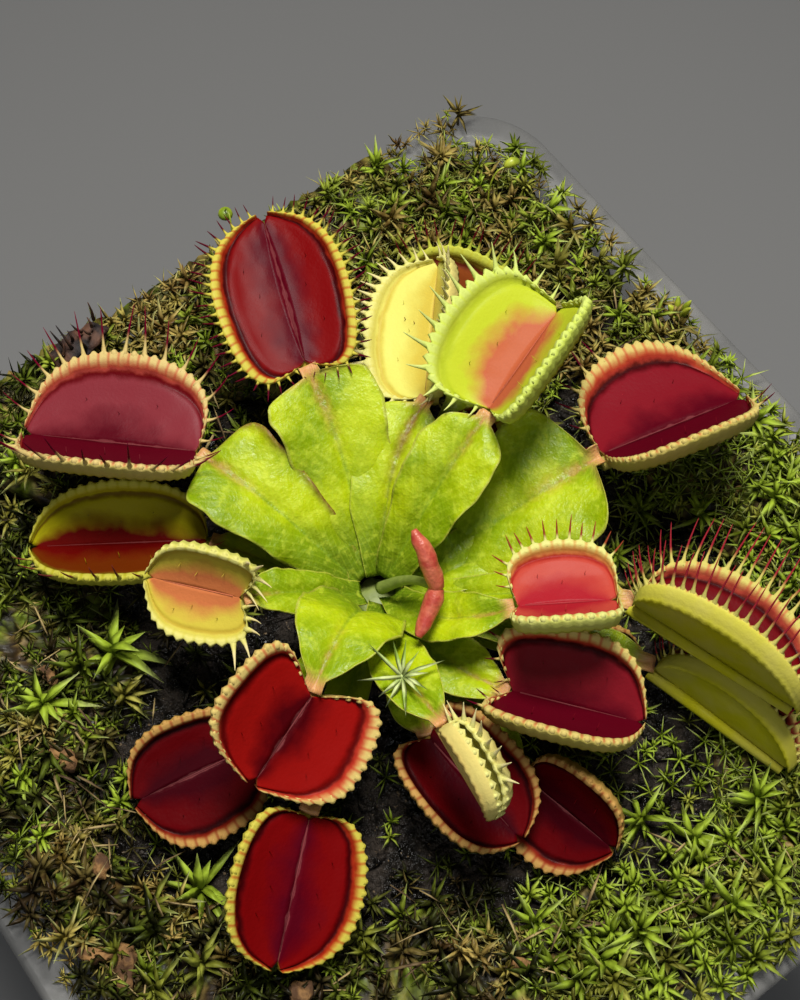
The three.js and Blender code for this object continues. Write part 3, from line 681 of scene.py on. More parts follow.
# A row: where the trap's neck is above the rim, its hinge length, heading, pitch and roll, how
# far the lobes lean out, their depths, how far they swell past the hinge's two ends, and hair
# length; then the stalk's half width and where it is widest, how its middle is drawn (how far
# along, up and aside), the tier that it starts from, and the trap's colouring.
LEAVES = [Leaf(*row) for row in (
    ("left", (-24.8, -8.3, 9), 17.3, -133, 0, 20, 59, 10.2, 10.2, 0.38, 0.24, 3.4,
     5.4, 0.78, 0.55, 5, 0, 1, "pink"),
    ("back_left", (-25.3, 5.9, 12), 16.5, 160, 10, -4, 80, 7.8, 7.2, 0.66, 0.05, 2.2,
     5.8, 0.8, 0.55, 2.6, 1.5, 1, "red"),
    ("left_low", (-18.1, -12.1, 4), 17.6, -124, 0, 1, 58, 7, 7, 0.1, 0.05, 2,
     1.8, 0.7, 0.55, 0.9, 0, 0, "olive"),
    ("left_young", (-8.6, -13.6, 10.5), 8.9, -140, 0, -40, 70, 5.6, 5.6, 1.1, 0.1, 2,
     2.4, 0.6, 0.55, 2.4, 0, 2, "peach"),
    ("front_heart", (4.6, -14.3, 14), 9, -71, -12, -32, 78, 8.2, 8.4, 1.6, 0.1, 1,
     5.2, 0.42, 0.15, 13, 0, 1, "scarlet"),
    ("front_left", (2.1, -21.9, 3), 10.6, -102, -6, -24, 74, 7.2, 6.6, 0.8, 0.1, 0.9,
     2.2, 0.7, 0.55, 1, 0, 0, "dark"),
    ("front", (12.2, -20.4, 7), 13.5, -49, -14, -28, 80, 7, 7.2, 0.4, 0.1, 0.9,
     2.6, 0.7, 0.55, 1.2, 0, 0, "red"),
    ("front_right", (12.3, -6.2, 4), 12.5, 6, -8, 2, 68, 6.3, 6.2, 0.78, 0.1, 0.9,
     2.6, 0.7, 0.55, 0.8, 0, 0, "dark"),
    ("front_closed", (14.6, -6.2, 15), 8.6, -7, -12, -14, 15, 4.6, 4.6, 0.3, 0.2, 1.6,
     2.9, 0.6, 0.5, 4, 3, 2, "cream"),
    ("right_low", (20.6, -0.4, 2), 10.4, 14, -4, 46, 70, 6.6, 6.6, 0.3, 0.1, 0.9,
     2.2, 0.7, 0.55, 1.2, 0, 0, "dark"),
    ("right_front", (14.3, 2.3, 8), 12.2, 39, 0, -7, 47, 8, 8, 1.25, 0.1, 1.4,
     3, 0.6, 0.5, 3.5, 3, 1, "crimson"),
    ("right_small", (9.5, 6.2, 14.7), 8.6, 56, 4, -27, 62, 6.7, 6.5, 0.75, 0.7, 1.6,
     2.7, 0.5, 0.45, 4.5, 5, 2, "coral"),
    ("right_hidden", (14, 12, -1.3), 6, 62, 0, 4, 50, 4, 4, 0.4, 0.2, 0.9,
     1.6, 0.7, 0.55, 0.9, 0, 0, "dark"),
    ("far_right", (14.7, 17.2, 10), 17.8, 18, 0, -47, 44, 8.6, 8.5, 0.24, 0.05, 3.2,
     2.6, 0.7, 0.55, 3.8, 0, 1, "green"),
    ("far_right_low", (19.6, 17.4, 1.2), 15.9, 14, 0, -53, 36, 6.1, 6.2, 0.05, 0.05, 2,
     2.4, 0.7, 0.55, 1.4, 0, 1, "green"),
    ("right_back", (0.6, 24.7, 10), 15.6, 77, 0, -31, 63, 11, 11, 0.2, 0.05, 2.4,
     7.8, 0.76, 0.55, 4, 0, 0, "crimson"),
    ("back", (-8.5, 16.9, 15), 12, 108, 11, -24, 51, 9.8, 9.6, 0.8, 0.8, 2,
     4.3, 0.68, 0.5, 5, 0, 2, "yellow"),
    ("back_pale", (-15.8, 14.6, 9.3), 14.8, 138, 7, -38, 58, 7.6, 5, 0.4, 0.3, 1.8,
     4.6, 0.68, 0.5, 4, -3, 1, "cream"),
    ("back_hidden", (-20.5, 28.5, 1), 13.2, -147, 2, 4, 54, 8.4, 8.4, 0.6, 0.1, 2.4,
     2.6, 0.7, 0.55, 1.8, 0, 0, "brown"),
    ("back_low", (-2, 13.4, 3.6), 12.6, 157, 0, -14, 50, 4.6, 5.6, 0.3, 0.2, 1.4,
     3.3, 0.6, 0.55, 4, 4.5, 1, "red"),
)]
BLADE, NECK_START, NECK_HALF = 0.8, 0.94, 0.95
BLADE_COLUMNS, BLADE_ROWS = 26, 52
TIER_RADIUS, TIER_HEIGHT = (3.6, 2.7, 1.9), (-0.4, 1.2, 2.8)


def trap_axes(leaf):
    """The way along a trap's hinge, the way that it faces, and the way to its right lobe."""
    a, e, r = (radians(v) for v in (leaf.heading, leaf.pitch, leaf.roll))
    along = Vector((cos(a) * cos(e), sin(a) * cos(e), sin(e)))
    up = (Vector((0, 0, 1)) - along * along.z).normalized()
    side = along.cross(up)
    face = up * cos(r) + side * sin(r)
    return along, face, along.cross(face)


def curve_point(points, t):
    a, b, c = points
    return a * (1 - t) ** 2 + b * 2 * t * (1 - t) + c * t * t


def curve_way(points, t):
    a, b, c = points
    return ((b - a) * (1 - t) + (c - b) * t).normalized()


def stalk_path(leaf):
    end = Vector(leaf.neck) + RIM
    way_out = atan2(end.y - CROWN.y, end.x - CROWN.x)
    start = CROWN + Vector((cos(way_out), sin(way_out), 0)) * TIER_RADIUS[leaf.tier]
    start.z = POT_HEIGHT + TIER_HEIGHT[leaf.tier]
    end = end - trap_axes(leaf)[0] * 0.3
    aside = Vector((sin(way_out), -cos(way_out), 0)) * leaf.sway
    return start, start.lerp(end, leaf.share) + aside + Vector((0, 0, leaf.rise)), end


def stalk_width(leaf, v):
    shoulder = leaf.hip + 0.04
    flare = sin(min(v / leaf.hip, 1) * pi / 2) ** 1.2
    past = max(v - shoulder, 0) / (NECK_START - shoulder)
    taper = max(1 - past ** 2.2, 0)
    return NECK_HALF + (leaf.wing - NECK_HALF) * (0.25 + 0.75 * flare) * taper


def scorch_at(name, v, across):
    """Where a leaf has browned: the curled upper edge of one, the midrib of another."""
    if name == "left":
        return max(across - 0.84, 0) / 0.16 * min(1, v * 5) * min(1, (0.97 - v) * 8)
    if name == "back_pale":
        return 0.8 * exp(-((across / 0.13) ** 2)) * v
    return 0.35 * max(abs(across) - 0.95, 0) / 0.05


def stalk_mesh(leaf, seed):
    """A thin slab along the stalk's path, with waved and frilled wings and a sunk midrib."""
    path = stalk_path(leaf)
    bm = bmesh.new()
    bmesh.ops.create_grid(bm, x_segments=BLADE_COLUMNS, y_segments=BLADE_ROWS, size=0.5)
    layers = [bm.verts.layers.float.new(key) for key in ("along", "across", "scorch")]
    shell = bmesh.ops.extrude_face_region(bm, geom=list(bm.faces), use_keep_orig=True)["geom"]
    raised = set(corners_in(shell))
    for vert in list(bm.verts):
        v, across = vert.co.y + 0.5, 2 * vert.co.x
        across = copysign(abs(across) ** 0.85, across)
        at, way = curve_point(path, v), curve_way(path, v)
        up = (Vector((0, 0, 1)) - way * way.z).normalized()
        side = way.cross(up)
        wide = stalk_width(leaf, v)
        rim = abs(across) ** 4
        wave = 0.1 * leaf.wing * sin(7 * v + leaf.hinge * 0.9) * across * across
        phase = 2.3 * seed + (1.7 if across > 0 else 0)
        frill = rim * leaf.wing * (0.06 * sin(17 * v + phase) + 0.03 * sin(41 * v + 2 * phase))
        scorch = scorch_at(leaf.name, v, across)
        curl = 0.5 * scorch if abs(across) > 0.8 else 0
        groove = -0.4 * exp(-((across * wide / 0.55) ** 2)) * min(1, 6 * v) * min(1, (1 - v) * 12)
        swell = 0.22 * noise(Vector((across * wide * 0.35, v * 9, seed * 3.1)))
        pucker = 0.10 * noise(Vector((across * wide, v * 26, seed)) * 0.7)
        thick = (BLADE / 2) * (1 - 0.7 * rim) * (1 if vert in raised else -1)
        lift = 0.16 * abs(across) * wide + wave + frill + curl + groove + swell + pucker
        chance = noise(Vector((seed, v * 11, 1 if across > 0 else 5)))
        ragged = 1 + 0.03 * sin(23 * v + phase) + 0.05 * chance
        for layer, value in zip(layers, (v, across, scorch)):
            vert[layer] = value
        vert.co = (at + side * across * wide * ragged + up * (lift + thick)) * MM
    return bm


leaf_green, tree, shader = new_material(
    "lime_leaf", Specular_IOR_Level=0.3, Subsurface_Weight=0.15, Subsurface_Radius=(0.5, 0.8, 0.1),
    Subsurface_Scale=0.0012)
along, across, scorch = (kept(tree, key) for key in ("along", "across", "scorch"))
out = sums("ABSOLUTE", across)
cloud = grains(tree, 150, 4)
fine = grains(tree, 1100, 3)
fresh = mix_colours(ramp(cloud, 0.35, 0.68), (0.19, 0.29, 0.001), (0.41, 0.50, 0.003))
foot = mix_colours(ramp(along, 0.0, 0.4), (0.11, 0.18, 0.004), fresh)
# Darker along the midrib: painted shade in the fold of the sunk midrib.
rib = mix_colours(ramp(out, 0.07, 0.0, 0, 0.5), foot, (0.15, 0.26, 0.01))
grained = mix_colours(ramp(fine, 0.5, 0.72, 0, 0.35), rib, (0.58, 0.66, 0.04))
near_neck = sums("MULTIPLY", ramp(out, 0.2, 0.02), ramp(along, 0.45, 0.95, 0, 0.7))
streaky = sums("MULTIPLY", near_neck, ramp(fine, 0.35, 0.6, 0.3, 1))
rusty = mix_colours(streaky, grained, (0.34, 0.13, 0.03))
edge = mix_colours(ramp(out, 0.93, 1.0), rusty, (0.40, 0.46, 0.05))
blush = sums("ADD", along, sums("MULTIPLY", cloud, 0.1))
neck_pink = mix_colours(ramp(blush, 0.93, 1.03), edge, (0.56, 0.27, 0.11))
burnt = sums("MULTIPLY", scorch, ramp(fine, 0.25, 0.5, 0.3, 1.0))
browned = mix_colours(burnt, neck_pink, (0.15, 0.06, 0.012))
slant = sums("SUBTRACT", along, sums("MULTIPLY", out, 0.35))
veins = sums("SINE", sums("MULTIPLY", slant, 80.0))
feed(mix_colours(ramp(veins, 0.4, 1.0, 0, 0.10), browned, (0.55, 0.68, 0.04)), shader)
feed(ramp(fine, 0.3, 0.7, 0.34, 0.58), shader, "Roughness")
pimples = grains(tree, 1900, kind="Voronoi")
relief = sums("ADD", pimples, sums("MULTIPLY", veins, 0.10))
raise_bump(shader, sums("ADD", relief, cloud), 0.3, 0.0002)
for index, leaf in enumerate(LEAVES):
    node = f"stalk_{leaf.name}"
    finish_piece(f"{node}_blade", stalk_mesh(leaf, index), leaf_green, "leaf_green", node)


# The traps: each lobe is a smooth dish with a groove under its turned-in lip, fleshy beads or
# thin hairs along the lip, and three trigger bristles inside. The midrib is a fine pale line.
LOBE_THICK, LOBE_CURL, LIP, TIP_REACH = 0.75, 0.5, 0.45, 0.9
LOBE_ROWS, BEAD_PITCH = 16, 1.1
RIM_STEPS = [0.015 + 0.97 * i / 120 for i in range(121)]
TRIGGERS = [(0.36, 0.5), (0.5, 0.34), (0.64, 0.5)]
BEAD = [(0.45, 1), (0.72, 0.86), (0.9, 0.58), (1, 0.2)]
PALE_TOOTH = [(0.2, 0.78), (0.42, 0.5), (0.7, 0.3), (0.9, 0.16), (1, 0.06)]
HAIR = [(0.14, 0.62), (0.3, 0.34), (0.6, 0.24), (0.85, 0.16), (1, 0.05)]
PALE = ("yellow", "cream", "peach")

# Hairs by trap: the stretch of the left lip and of the right lip that has them, how long they
# are, one for every so many beads, and how far they lean in over the trap.
WHOLE, NONE = (0, 1), (2, 2)
HAIRS = {
    "left": (WHOLE, WHOLE, 0.9, 2, 0.8), "back_left": (WHOLE, WHOLE, 0.75, 1, 0.25),
    "left_low": (WHOLE, NONE, 1.1, 2, 1.6), "left_young": ((0, 0.3), (0, 0.3), 0.9, 1, 1.2),
    "front_closed": ((0, 0.7), NONE, 0.9, 1, 0.2), "right_front": ((0, 0.36), (0, 0.2), 1.0, 2, 0.6),
    "right_small": ((0.03, 0.8), NONE, 0.65, 1, 0.6), "far_right": (WHOLE, WHOLE, 0.75, 1, 1.3),
    "far_right_low": (WHOLE, WHOLE, 0.75, 1, 1.3), "right_back": ((0, 0.42), (0.86, 1), 0.9, 2, 0.6),
    "back": (WHOLE, NONE, 0.8, 2, 0.75), "back_pale": (WHOLE, WHOLE, 0.5, 1, 0.9),
    "back_hidden": (WHOLE, WHOLE, 1.0, 1, 0.6),
}
# For these traps, the hand of the lobe painted darker as shade: its face keeps the hinge's tone.
SHADED_LOBES = {"left": -1, "left_low": -1, "right_front": 1, "right_back": 1}


def rounded(value, low, high):
    share = min(max((value - low) / (high - low), 0), 1)
    return share * share * (3 - 2 * share)


def lobe_place(leaf, hand, t, s, w):
    """A point t along a lobe, s of the way out from the midrib, and w above its middle."""
    along, face, side = trap_axes(leaf)
    deep = leaf.right if hand > 0 else leaf.left
    sine = max(sin(pi * t), 0)
    swell = leaf.swell if t < 0.5 else leaf.swell_tip
    rim = leaf.hinge / 2 * (1 - cos(pi * t) * (1 + swell * sine))
    run = deep * sine ** 0.8 * s
    u = leaf.hinge * t + (rim - leaf.hinge * t) * s ** 0.8
    bend = LOBE_CURL / deep
    start = radians(leaf.gape) + LOBE_CURL / 2
    angle = start - bend * run
    sideways = (cos(angle) - cos(start)) / bend
    rise = (sin(start) - sin(angle)) / bend
    lip = LIP * rounded(s, 0.8, 0.9) - 0.3 * exp(-(((s - 0.79) / 0.045) ** 2))
    depth = w + lip * (1 if t > 0.5 else min(1, 3 * sine))
    u += TIP_REACH * s * max(2 * t - 1, 0) ** 6
    return (Vector(leaf.neck) + RIM + along * u + face * (rise + depth * sin(angle))
            + side * hand * (sideways - depth * cos(angle)))


def facing(spot, way):
    return placed_at(*spot) @ way.to_track_quat("Z", "Y").to_matrix().to_4x4()


def spike(bm, layers, root, way, bow, length, radius, rings, tips, reach=1.0):
    """A bead or hair of six sides, bent towards bow, drawn out ring by ring from its root."""
    ring = bmesh.ops.create_circle(bm, segments=6, radius=radius * MM, cap_ends=True)["verts"]
    bmesh.ops.transform(bm, matrix=facing(root, way), verts=ring)
    for vert in ring:
        for layer, value in zip(layers, (reach, 1.0, 0.0, 1.0)):
            vert[layer] = value
    centre, last = root, 1.0
    edges = list({e for v in ring for e in v.link_edges})
    for share, thick in rings:
        ring, edges = drawn_out(bm, edges)
        spot = root + (way * share + bow * share * share) * length
        for vert in ring:
            vert.co = (spot + (vert.co / MM - centre) * (thick / last)) * MM
            for layer, value in zip(layers, (reach, 1.0, tips * share, 1.0)):
                vert[layer] = value
        centre, last = spot, thick
    bmesh.ops.contextual_create(bm, geom=ring)


def lobe_shell(bm, layers, leaf, hand, shares, teeth, seed):
    """A lobe: one closed dished slab, thick under its lip, with a rib to each bead."""
    web, rib = (0.07, 0.32) if leaf.style in PALE else (0.03, 0.22)
    swollen = 1.0 if (leaf.name, hand) == ("front_heart", -1) else 0.35
    # dark: the share of painted shade on the shaded lobe.
    dark = 0.85 if hand == SHADED_LOBES.get(leaf.name, 0) else 0.0
    grid = bmesh.ops.create_grid(bm, x_segments=2 * teeth, y_segments=LOBE_ROWS, size=0.5)["verts"]
    faces = list({f for v in grid for f in v.link_faces})
    shell = bmesh.ops.extrude_face_region(bm, geom=faces, use_keep_orig=True)["geom"]
    for group, inside in ((grid, 0.0), (corners_in(shell), 1.0)):
        for vert in group:
            round_rim, row = vert.co.x + 0.5, vert.co.y + 0.5
            t = float(np.interp(round_rim, shares, RIM_STEPS))
            s = 1 - (1 - row) ** 1.35
            beat = 0.5 + 0.5 * cos(tau * (teeth * round_rim - 0.5))
            edge = rounded(s, 0.85, 1)
            bulge = swollen * exp(-(((s - 0.88) / 0.09) ** 2)) + 0.14 * beat * rounded(s, 0.6, 0.85)
            dimple = 0.05 * noise(Vector((t * 9, s * 5, seed + 7 * hand))) * rounded(s, 0.05, 0.2)
            inner_side = LOBE_THICK / 2 * (1 - 0.5 * rounded(s, 0.93, 1)) + rib * beat * edge + dimple
            w = inner_side if inside else -LOBE_THICK / 2 - bulge + 0.35 * rounded(s, 0.93, 1)
            vert.co = lobe_place(leaf, hand, t, s * (1 + web * (beat - 0.5) * edge), w) * MM
            for layer, value in zip(layers, (s, inside, 0.0, beat, dark)):
                vert[layer] = value


def lip_teeth(bm, layers, leaf, hand, shares, teeth, draw):
    """A bead on every rib of a lip, or a thin hair where the trap has them."""
    face = trap_axes(leaf)[1]
    *spans, long, every, lean = HAIRS.get(leaf.name, (NONE, NONE, 1.0, 1, 0.6))
    from_share, to_share = spans[0 if hand < 0 else 1]
    for i in range(teeth):
        share = (i + 0.5) / teeth
        t = float(np.interp(share, shares, RIM_STEPS))
        edge = lobe_place(leaf, hand, t, 1.0, 0.05)
        along_rim = lobe_place(leaf, hand, t + 0.01, 1, 0) - lobe_place(leaf, hand, t - 0.01, 1, 0)
        way = along_rim.cross(lobe_place(leaf, hand, t, 1, 1) - edge).normalized()
        way *= copysign(1, way.dot(edge - lobe_place(leaf, hand, 0.5, 0.4, 0)))
        grip = min(0.6, 0.85 * (edge - lobe_place(leaf, hand, t, 0.9, 0.05)).length)
        jitter = Vector([draw.uniform(-0.1, 0.1) for _ in range(3)])
        if from_share <= share <= to_share and i % every == 0:
            length = leaf.tooth * long * (0.55 + 0.6 * sin(pi * share)) * draw.uniform(0.85, 1.1)
            root, aim = edge - way * min(grip, 0.5), (way + face * 0.3 * lean + jitter).normalized()
            spike(bm, layers, root, aim, face * 0.45 * lean + jitter, length + 0.9,
                  0.44 * min(1, 0.5 + grip), PALE_TOOTH if leaf.style in PALE else HAIR, 1.0)
        else:
            root, aim = edge - way * grip, (way + face * 0.1 + jitter * 0.2).normalized()
            length = 0.22 * (0.75 + 0.5 * sin(pi * share)) + grip - 0.1
            spike(bm, layers, root, aim, face * 0.1, length, 0.4 * min(1, 0.4 + grip), BEAD, 0.15)


def trigger_bristles(bm, layers, leaf, hand):
    along = trap_axes(leaf)[0]
    for t, s in TRIGGERS:
        root = lobe_place(leaf, hand, t, s, LOBE_THICK / 2 - 0.05)
        inward = (lobe_place(leaf, hand, t, s, 1.4) - root).normalized()
        spike(bm, layers, root, inward, along * 0.1, 0.85, 0.04, [(0.5, 0.7), (1, 0.2)], 0, 0.6)


def midrib(bm, layers, leaf):
    """The thick hinge under the two lobes, and the fine line that shows between them."""
    along, face, _ = trap_axes(leaf)
    groove_up = LOBE_THICK / 2 / sin(radians(leaf.gape) + LOBE_CURL / 2)
    for thick, thin, cut, up, inside in ((0.75, 0.45, 0, -0.85, 0.0), (0.1, 0.05, 2, groove_up - 0.02, 1.0)):
        bar = bmesh.ops.create_cone(bm, cap_ends=True, segments=10, radius1=thick * MM, radius2=thin * MM,
                                    depth=(leaf.hinge + 0.2 - cut) * MM)["verts"]
        middle = Vector(leaf.neck) + RIM + along * (leaf.hinge / 2 - 0.2) + face * up
        bmesh.ops.transform(bm, matrix=facing(middle, along), verts=bar)
        for vert in bar:
            vert[layers[1]] = inside


def trap_mesh(leaf, seed):
    draw = random.Random(seed)
    bm = bmesh.new()
    # The dark layer carries a lobe's painted shade to the paint.
    layers = [bm.verts.layers.float.new(key) for key in ("reach", "inner", "tip", "bead", "dark")]
    for hand in (-1, 1):
        rim = [lobe_place(leaf, hand, t, 1, 0) for t in RIM_STEPS]
        lengths = np.cumsum([0] + [(b - a).length for a, b in zip(rim, rim[1:])])
        shares, teeth = lengths / lengths[-1], round(lengths[-1] / BEAD_PITCH)
        lobe_shell(bm, layers, leaf, hand, shares, teeth, seed)
        lip_teeth(bm, layers, leaf, hand, shares, teeth, draw)
        trigger_bristles(bm, layers, leaf, hand)
    midrib(bm, layers, leaf)
    return bm


# One paint for all traps: a pale line on the midrib, hinge and face tones, painted shade in
# the groove under the lip, the lip that goes from coral to the yellow of its beads, the outside,
# and the hairs; on a shaded lobe, painted shade keeps the hinge's dark tone over the face. Shine
# is the skin's roughness, and Relief its glands and soft swells.
TONES = ("Hinge", "Face", "Groove Shade", "Lip", "Bead", "Outside", "Hair")
paint, given, result = new_paint("trap_paint", {**dict.fromkeys(TONES, "Color"), "Spread": "Float"},
                                 {"Colour": "Color", "Shine": "Float", "Relief": "Float"})
reach, inner, tip, bead, dark = (kept(paint, key) for key in ("reach", "inner", "tip", "bead", "dark"))
fray = ramp(grains(paint, 600, 4), 0.2, 0.8, -0.05, 0.05)
wide_fray = ramp(grains(paint, 170, 3), 0.2, 0.8, -0.16, 0.16)
torn = sums("ADD", reach, sums("MULTIPLY", fray, 0.5))
blotch = sums("ADD", sums("ADD", reach, fray), wide_fray)
near = given["Spread"]
far = sums("ADD", near, 0.35)
blush = add_node(paint, "ShaderNodeMapRange", {0: blotch, 1: near, 2: far}).outputs[0]
# On a shaded lobe the hinge's dark tone covers the face: painted shade.
flushed = sums("MULTIPLY", blush, ramp(dark, 0, 1, 1, 0))
skin = mix_colours(flushed, given["Hinge"], given["Face"])
gland = ramp(grains(paint, 2600, kind="Voronoi"), 0.30, 0.05, 0, 0.22)
dotted = mix_colours(gland, skin, given["Lip"])
# The dark band inside the lip is painted shade, in the groove under the turned-in lip.
groove = sums("MULTIPLY", ramp(torn, 0.68, 0.77), ramp(torn, 0.83, 0.79))
sunk = mix_colours(groove, dotted, given["Groove Shade"])
line = mix_colours(ramp(torn, 0.03, 0.01, 0, 0.2), sunk, (0.50, 0.15, 0.15))
lipped = mix_colours(ramp(torn, 0.77, 0.87), line, given["Lip"])
ribbed = sums("MULTIPLY", ramp(torn, 0.83, 0.95), ramp(bead, 0.0, 0.5, 0.3, 1))
edged = mix_colours(ribbed, lipped, given["Bead"])
back_noise = ramp(grains(paint, 260, 3), 0.35, 0.7, 0, 0.5)
margin = ramp(reach, 0.78, 0.9, 0, 0.45)
back = mix_colours(back_noise, given["Outside"], given["Bead"])
back = mix_colours(margin, back, given["Bead"])
sides = mix_colours(inner, back, edged)
teeth_colour = mix_colours(ramp(tip, 0.04, 0.24), sides, given["Bead"])
haired = mix_colours(ramp(tip, 0.3, 0.55), teeth_colour, given["Hair"])
feed(haired, result, "Colour")
swells = grains(paint, 420, 2)
feed(ramp(swells, 0.3, 0.7, 0.4, 0.58), result, "Shine")
relief = sums("SUBTRACT", sums("MULTIPLY", swells, 0.7), grains(paint, 2600, kind="Voronoi"))
feed(relief, result, "Relief")

# A colouring: the seven tones, the third of them the painted shade in the groove under the lip,
# then how far the hinge's tone spreads out.
AMBER, CORAL, DARK_HAIR = (0.50, 0.44, 0.06), (0.36, 0.03, 0.008), (0.085, 0.002, 0.012)
# The first of these is the painted shade in the groove under the lip; the second a hinge's maroon.
GROOVE_SHADE, MAROON = (0.035, 0.0002, 0.001), (0.075, 0.0008, 0.006)
STYLES = {
    "red": (MAROON, (0.15, 0.0015, 0.002), GROOVE_SHADE, CORAL, AMBER, (0.42, 0.36, 0.04), DARK_HAIR, 0.1),
    "scarlet": ((0.055, 0.0004, 0.002), (0.23, 0.004, 0.003), (0.08, 0.001, 0.001), (0.42, 0.04, 0.02),
                (0.55, 0.42, 0.13), (0.30, 0.10, 0.03), DARK_HAIR, 0.05),
    "dark": ((0.038, 0.0005, 0.003), (0.085, 0.0008, 0.002), (0.02, 0.0002, 0.001), (0.22, 0.02, 0.008),
             (0.44, 0.25, 0.07), (0.30, 0.20, 0.03), DARK_HAIR, 0.15),
    "crimson": (MAROON, (0.17, 0.006, 0.012), GROOVE_SHADE, (0.42, 0.05, 0.02),
                (0.54, 0.43, 0.13), (0.40, 0.36, 0.05), DARK_HAIR, 0.04),
    "pink": (MAROON, (0.18, 0.022, 0.030), (0.09, 0.0008, 0.003), (0.42, 0.06, 0.03),
             (0.56, 0.43, 0.16), (0.42, 0.38, 0.05), (0.14, 0.002, 0.018), 0.04),
    "coral": ((0.32, 0.012, 0.020), (0.42, 0.052, 0.034), (0.27, 0.012, 0.008), (0.50, 0.24, 0.05),
              (0.58, 0.57, 0.18), (0.44, 0.48, 0.05), (0.26, 0.05, 0.02), 0.15),
    "olive": ((0.10, 0.0015, 0.001), (0.30, 0.27, 0.004), (0.13, 0.08, 0.003), (0.34, 0.31, 0.010),
              (0.46, 0.43, 0.06), (0.30, 0.29, 0.02), (0.24, 0.04, 0.04), 0.16),
    "green": ((0.07, 0.001, 0.003), (0.12, 0.002, 0.004), GROOVE_SHADE, (0.46, 0.07, 0.04),
              (0.54, 0.48, 0.12), (0.52, 0.49, 0.013), (0.30, 0.02, 0.03), 0.1),
    "peach": ((0.50, 0.15, 0.05), (0.53, 0.43, 0.05), (0.46, 0.34, 0.04), (0.52, 0.48, 0.08),
              (0.62, 0.58, 0.17), (0.46, 0.46, 0.06), (0.68, 0.58, 0.28), 0.25),
    "yellow": ((0.42, 0.10, 0.04), (0.42, 0.48, 0.022), (0.36, 0.42, 0.02), (0.46, 0.54, 0.05),
               (0.52, 0.60, 0.14), (0.42, 0.50, 0.03), (0.54, 0.60, 0.18), 0.2),
    "cream": ((0.54, 0.42, 0.06), (0.63, 0.60, 0.13), (0.50, 0.40, 0.06), (0.56, 0.50, 0.10),
              (0.64, 0.61, 0.20), (0.64, 0.45, 0.12), (0.68, 0.60, 0.28), 0.1),
    "brown": ((0.10, 0.008, 0.004), (0.22, 0.05, 0.010), (0.08, 0.01, 0.004), (0.42, 0.40, 0.03),
              (0.48, 0.50, 0.06), (0.36, 0.38, 0.04), (0.10, 0.004, 0.010), 0.3),
}
SLOTS = {"crimson": "trap_red", "scarlet": "trap_red", "dark": "trap_red", "green": "trap_olive",
         "peach": "trap_yellow", "brown": "trap_olive"}
trap_skins = {}
for style, tones in STYLES.items():
    skin, tree, shader = new_material(f"trap_{style}", Specular_IOR_Level=0.03, Coat_Weight=0.02,
                                      Coat_Roughness=0.18)
    values = {key: (*tone, 1) for key, tone in zip(TONES, tones)}
    values["Spread"] = tones[-1]
    painted = add_node(tree, "ShaderNodeGroup", values, node_tree=paint).outputs
    feed(painted["Colour"], shader)
    feed(painted["Shine"], shader, "Roughness")
    raise_bump(shader, painted["Relief"], 0.14, 0.00014)
    trap_skins[style] = skin
for index, leaf in enumerate(LEAVES):
    node = f"trap_{leaf.name}"
    slot = SLOTS.get(leaf.style, f"trap_{leaf.style}")
    finish_piece(f"{node}_lobes", trap_mesh(leaf, index), trap_skins[leaf.style], slot, node)


# The bud: the youngest leaf at the middle, a thin green stalk with its small coral trap
# still folded down over it.
BUD_STALK = [(-3, -0.8, 4.6), (-1.4, 0.4, 8), (0.6, 1, 11.5), (3.2, 1.3, 14.6)]
BUD_UPPER = [(-1.4, 2, 19), (1.2, 1.7, 17.4), (3.3, 1.3, 14.8)]
BUD_LOWER = [(3.3, 1.3, 14.8), (4.4, -0.4, 13.8), (5.7, -2.7, 13)]


def spline(knots, t):
    place = t * (len(knots) - 1)
    i = min(int(place), len(knots) - 2)
    part = place - i
    before, after = knots[max(i - 1, 0)], knots[min(i + 2, len(knots) - 1)]
    a, b = knots[i], knots[i + 1]
    return 0.5 * (2 * a + (b - before) * part + (2 * before - 5 * a + 4 * b - after) * part ** 2
                  + (3 * a - before - 3 * b + after) * part ** 3)


def rod(bm, points, radii, sides=12, steps=20):
    """A round stem through the points, above the pot's rim, as thick as the radii along it."""
    knots = [Vector(p) + RIM for p in points]
    last_loop = None
    for step in range(steps + 1):
        t = step / steps
        spot = spline(knots, t)
        way = (spline(knots, min(t + 0.02, 1)) - spline(knots, max(t - 0.02, 0))).normalized()
        radius = float(np.interp(t * (len(radii) - 1), range(len(radii)), radii))
        ring = bmesh.ops.create_circle(bm, segments=sides, radius=radius * MM)["verts"]
        bmesh.ops.transform(bm, matrix=facing(spot, way), verts=ring)
        loop = list({e for v in ring for e in v.link_edges})
        if last_loop:
            bmesh.ops.bridge_loops(bm, edges=loop + last_loop)
        else:
            bmesh.ops.contextual_create(bm, geom=ring)
        last_loop = loop
    bmesh.ops.contextual_create(bm, geom=ring)


bm = bmesh.new()
rod(bm, BUD_UPPER, [0.3, 0.75, 0.95, 0.95, 0.75])
rod(bm, BUD_LOWER, [0.75, 0.95, 0.9, 0.7, 0.3])
for vert in bm.verts:
    vert.co += Vector((1, 1, 1)) * noise(vert.co * 700) * 0.12 * MM
bud, tree, shader = new_material("coral_bud", Roughness=0.42)
feed(blotched(tree, 600, 3, (0.40, 0.045, 0.030), (0.60, 0.15, 0.08))["Colour"], shader)
raise_bump(shader, grains(tree, 1900, kind="Voronoi"), 0.25, 0.0002)
finish_piece("bud_lobes", bm, bud, "trap_coral", "bud")
bm = bmesh.new()
rod(bm, BUD_STALK, [0.7, 0.55, 0.45, 0.4])
finish_piece("bud_stalk", bm, crown, "leaf_green")


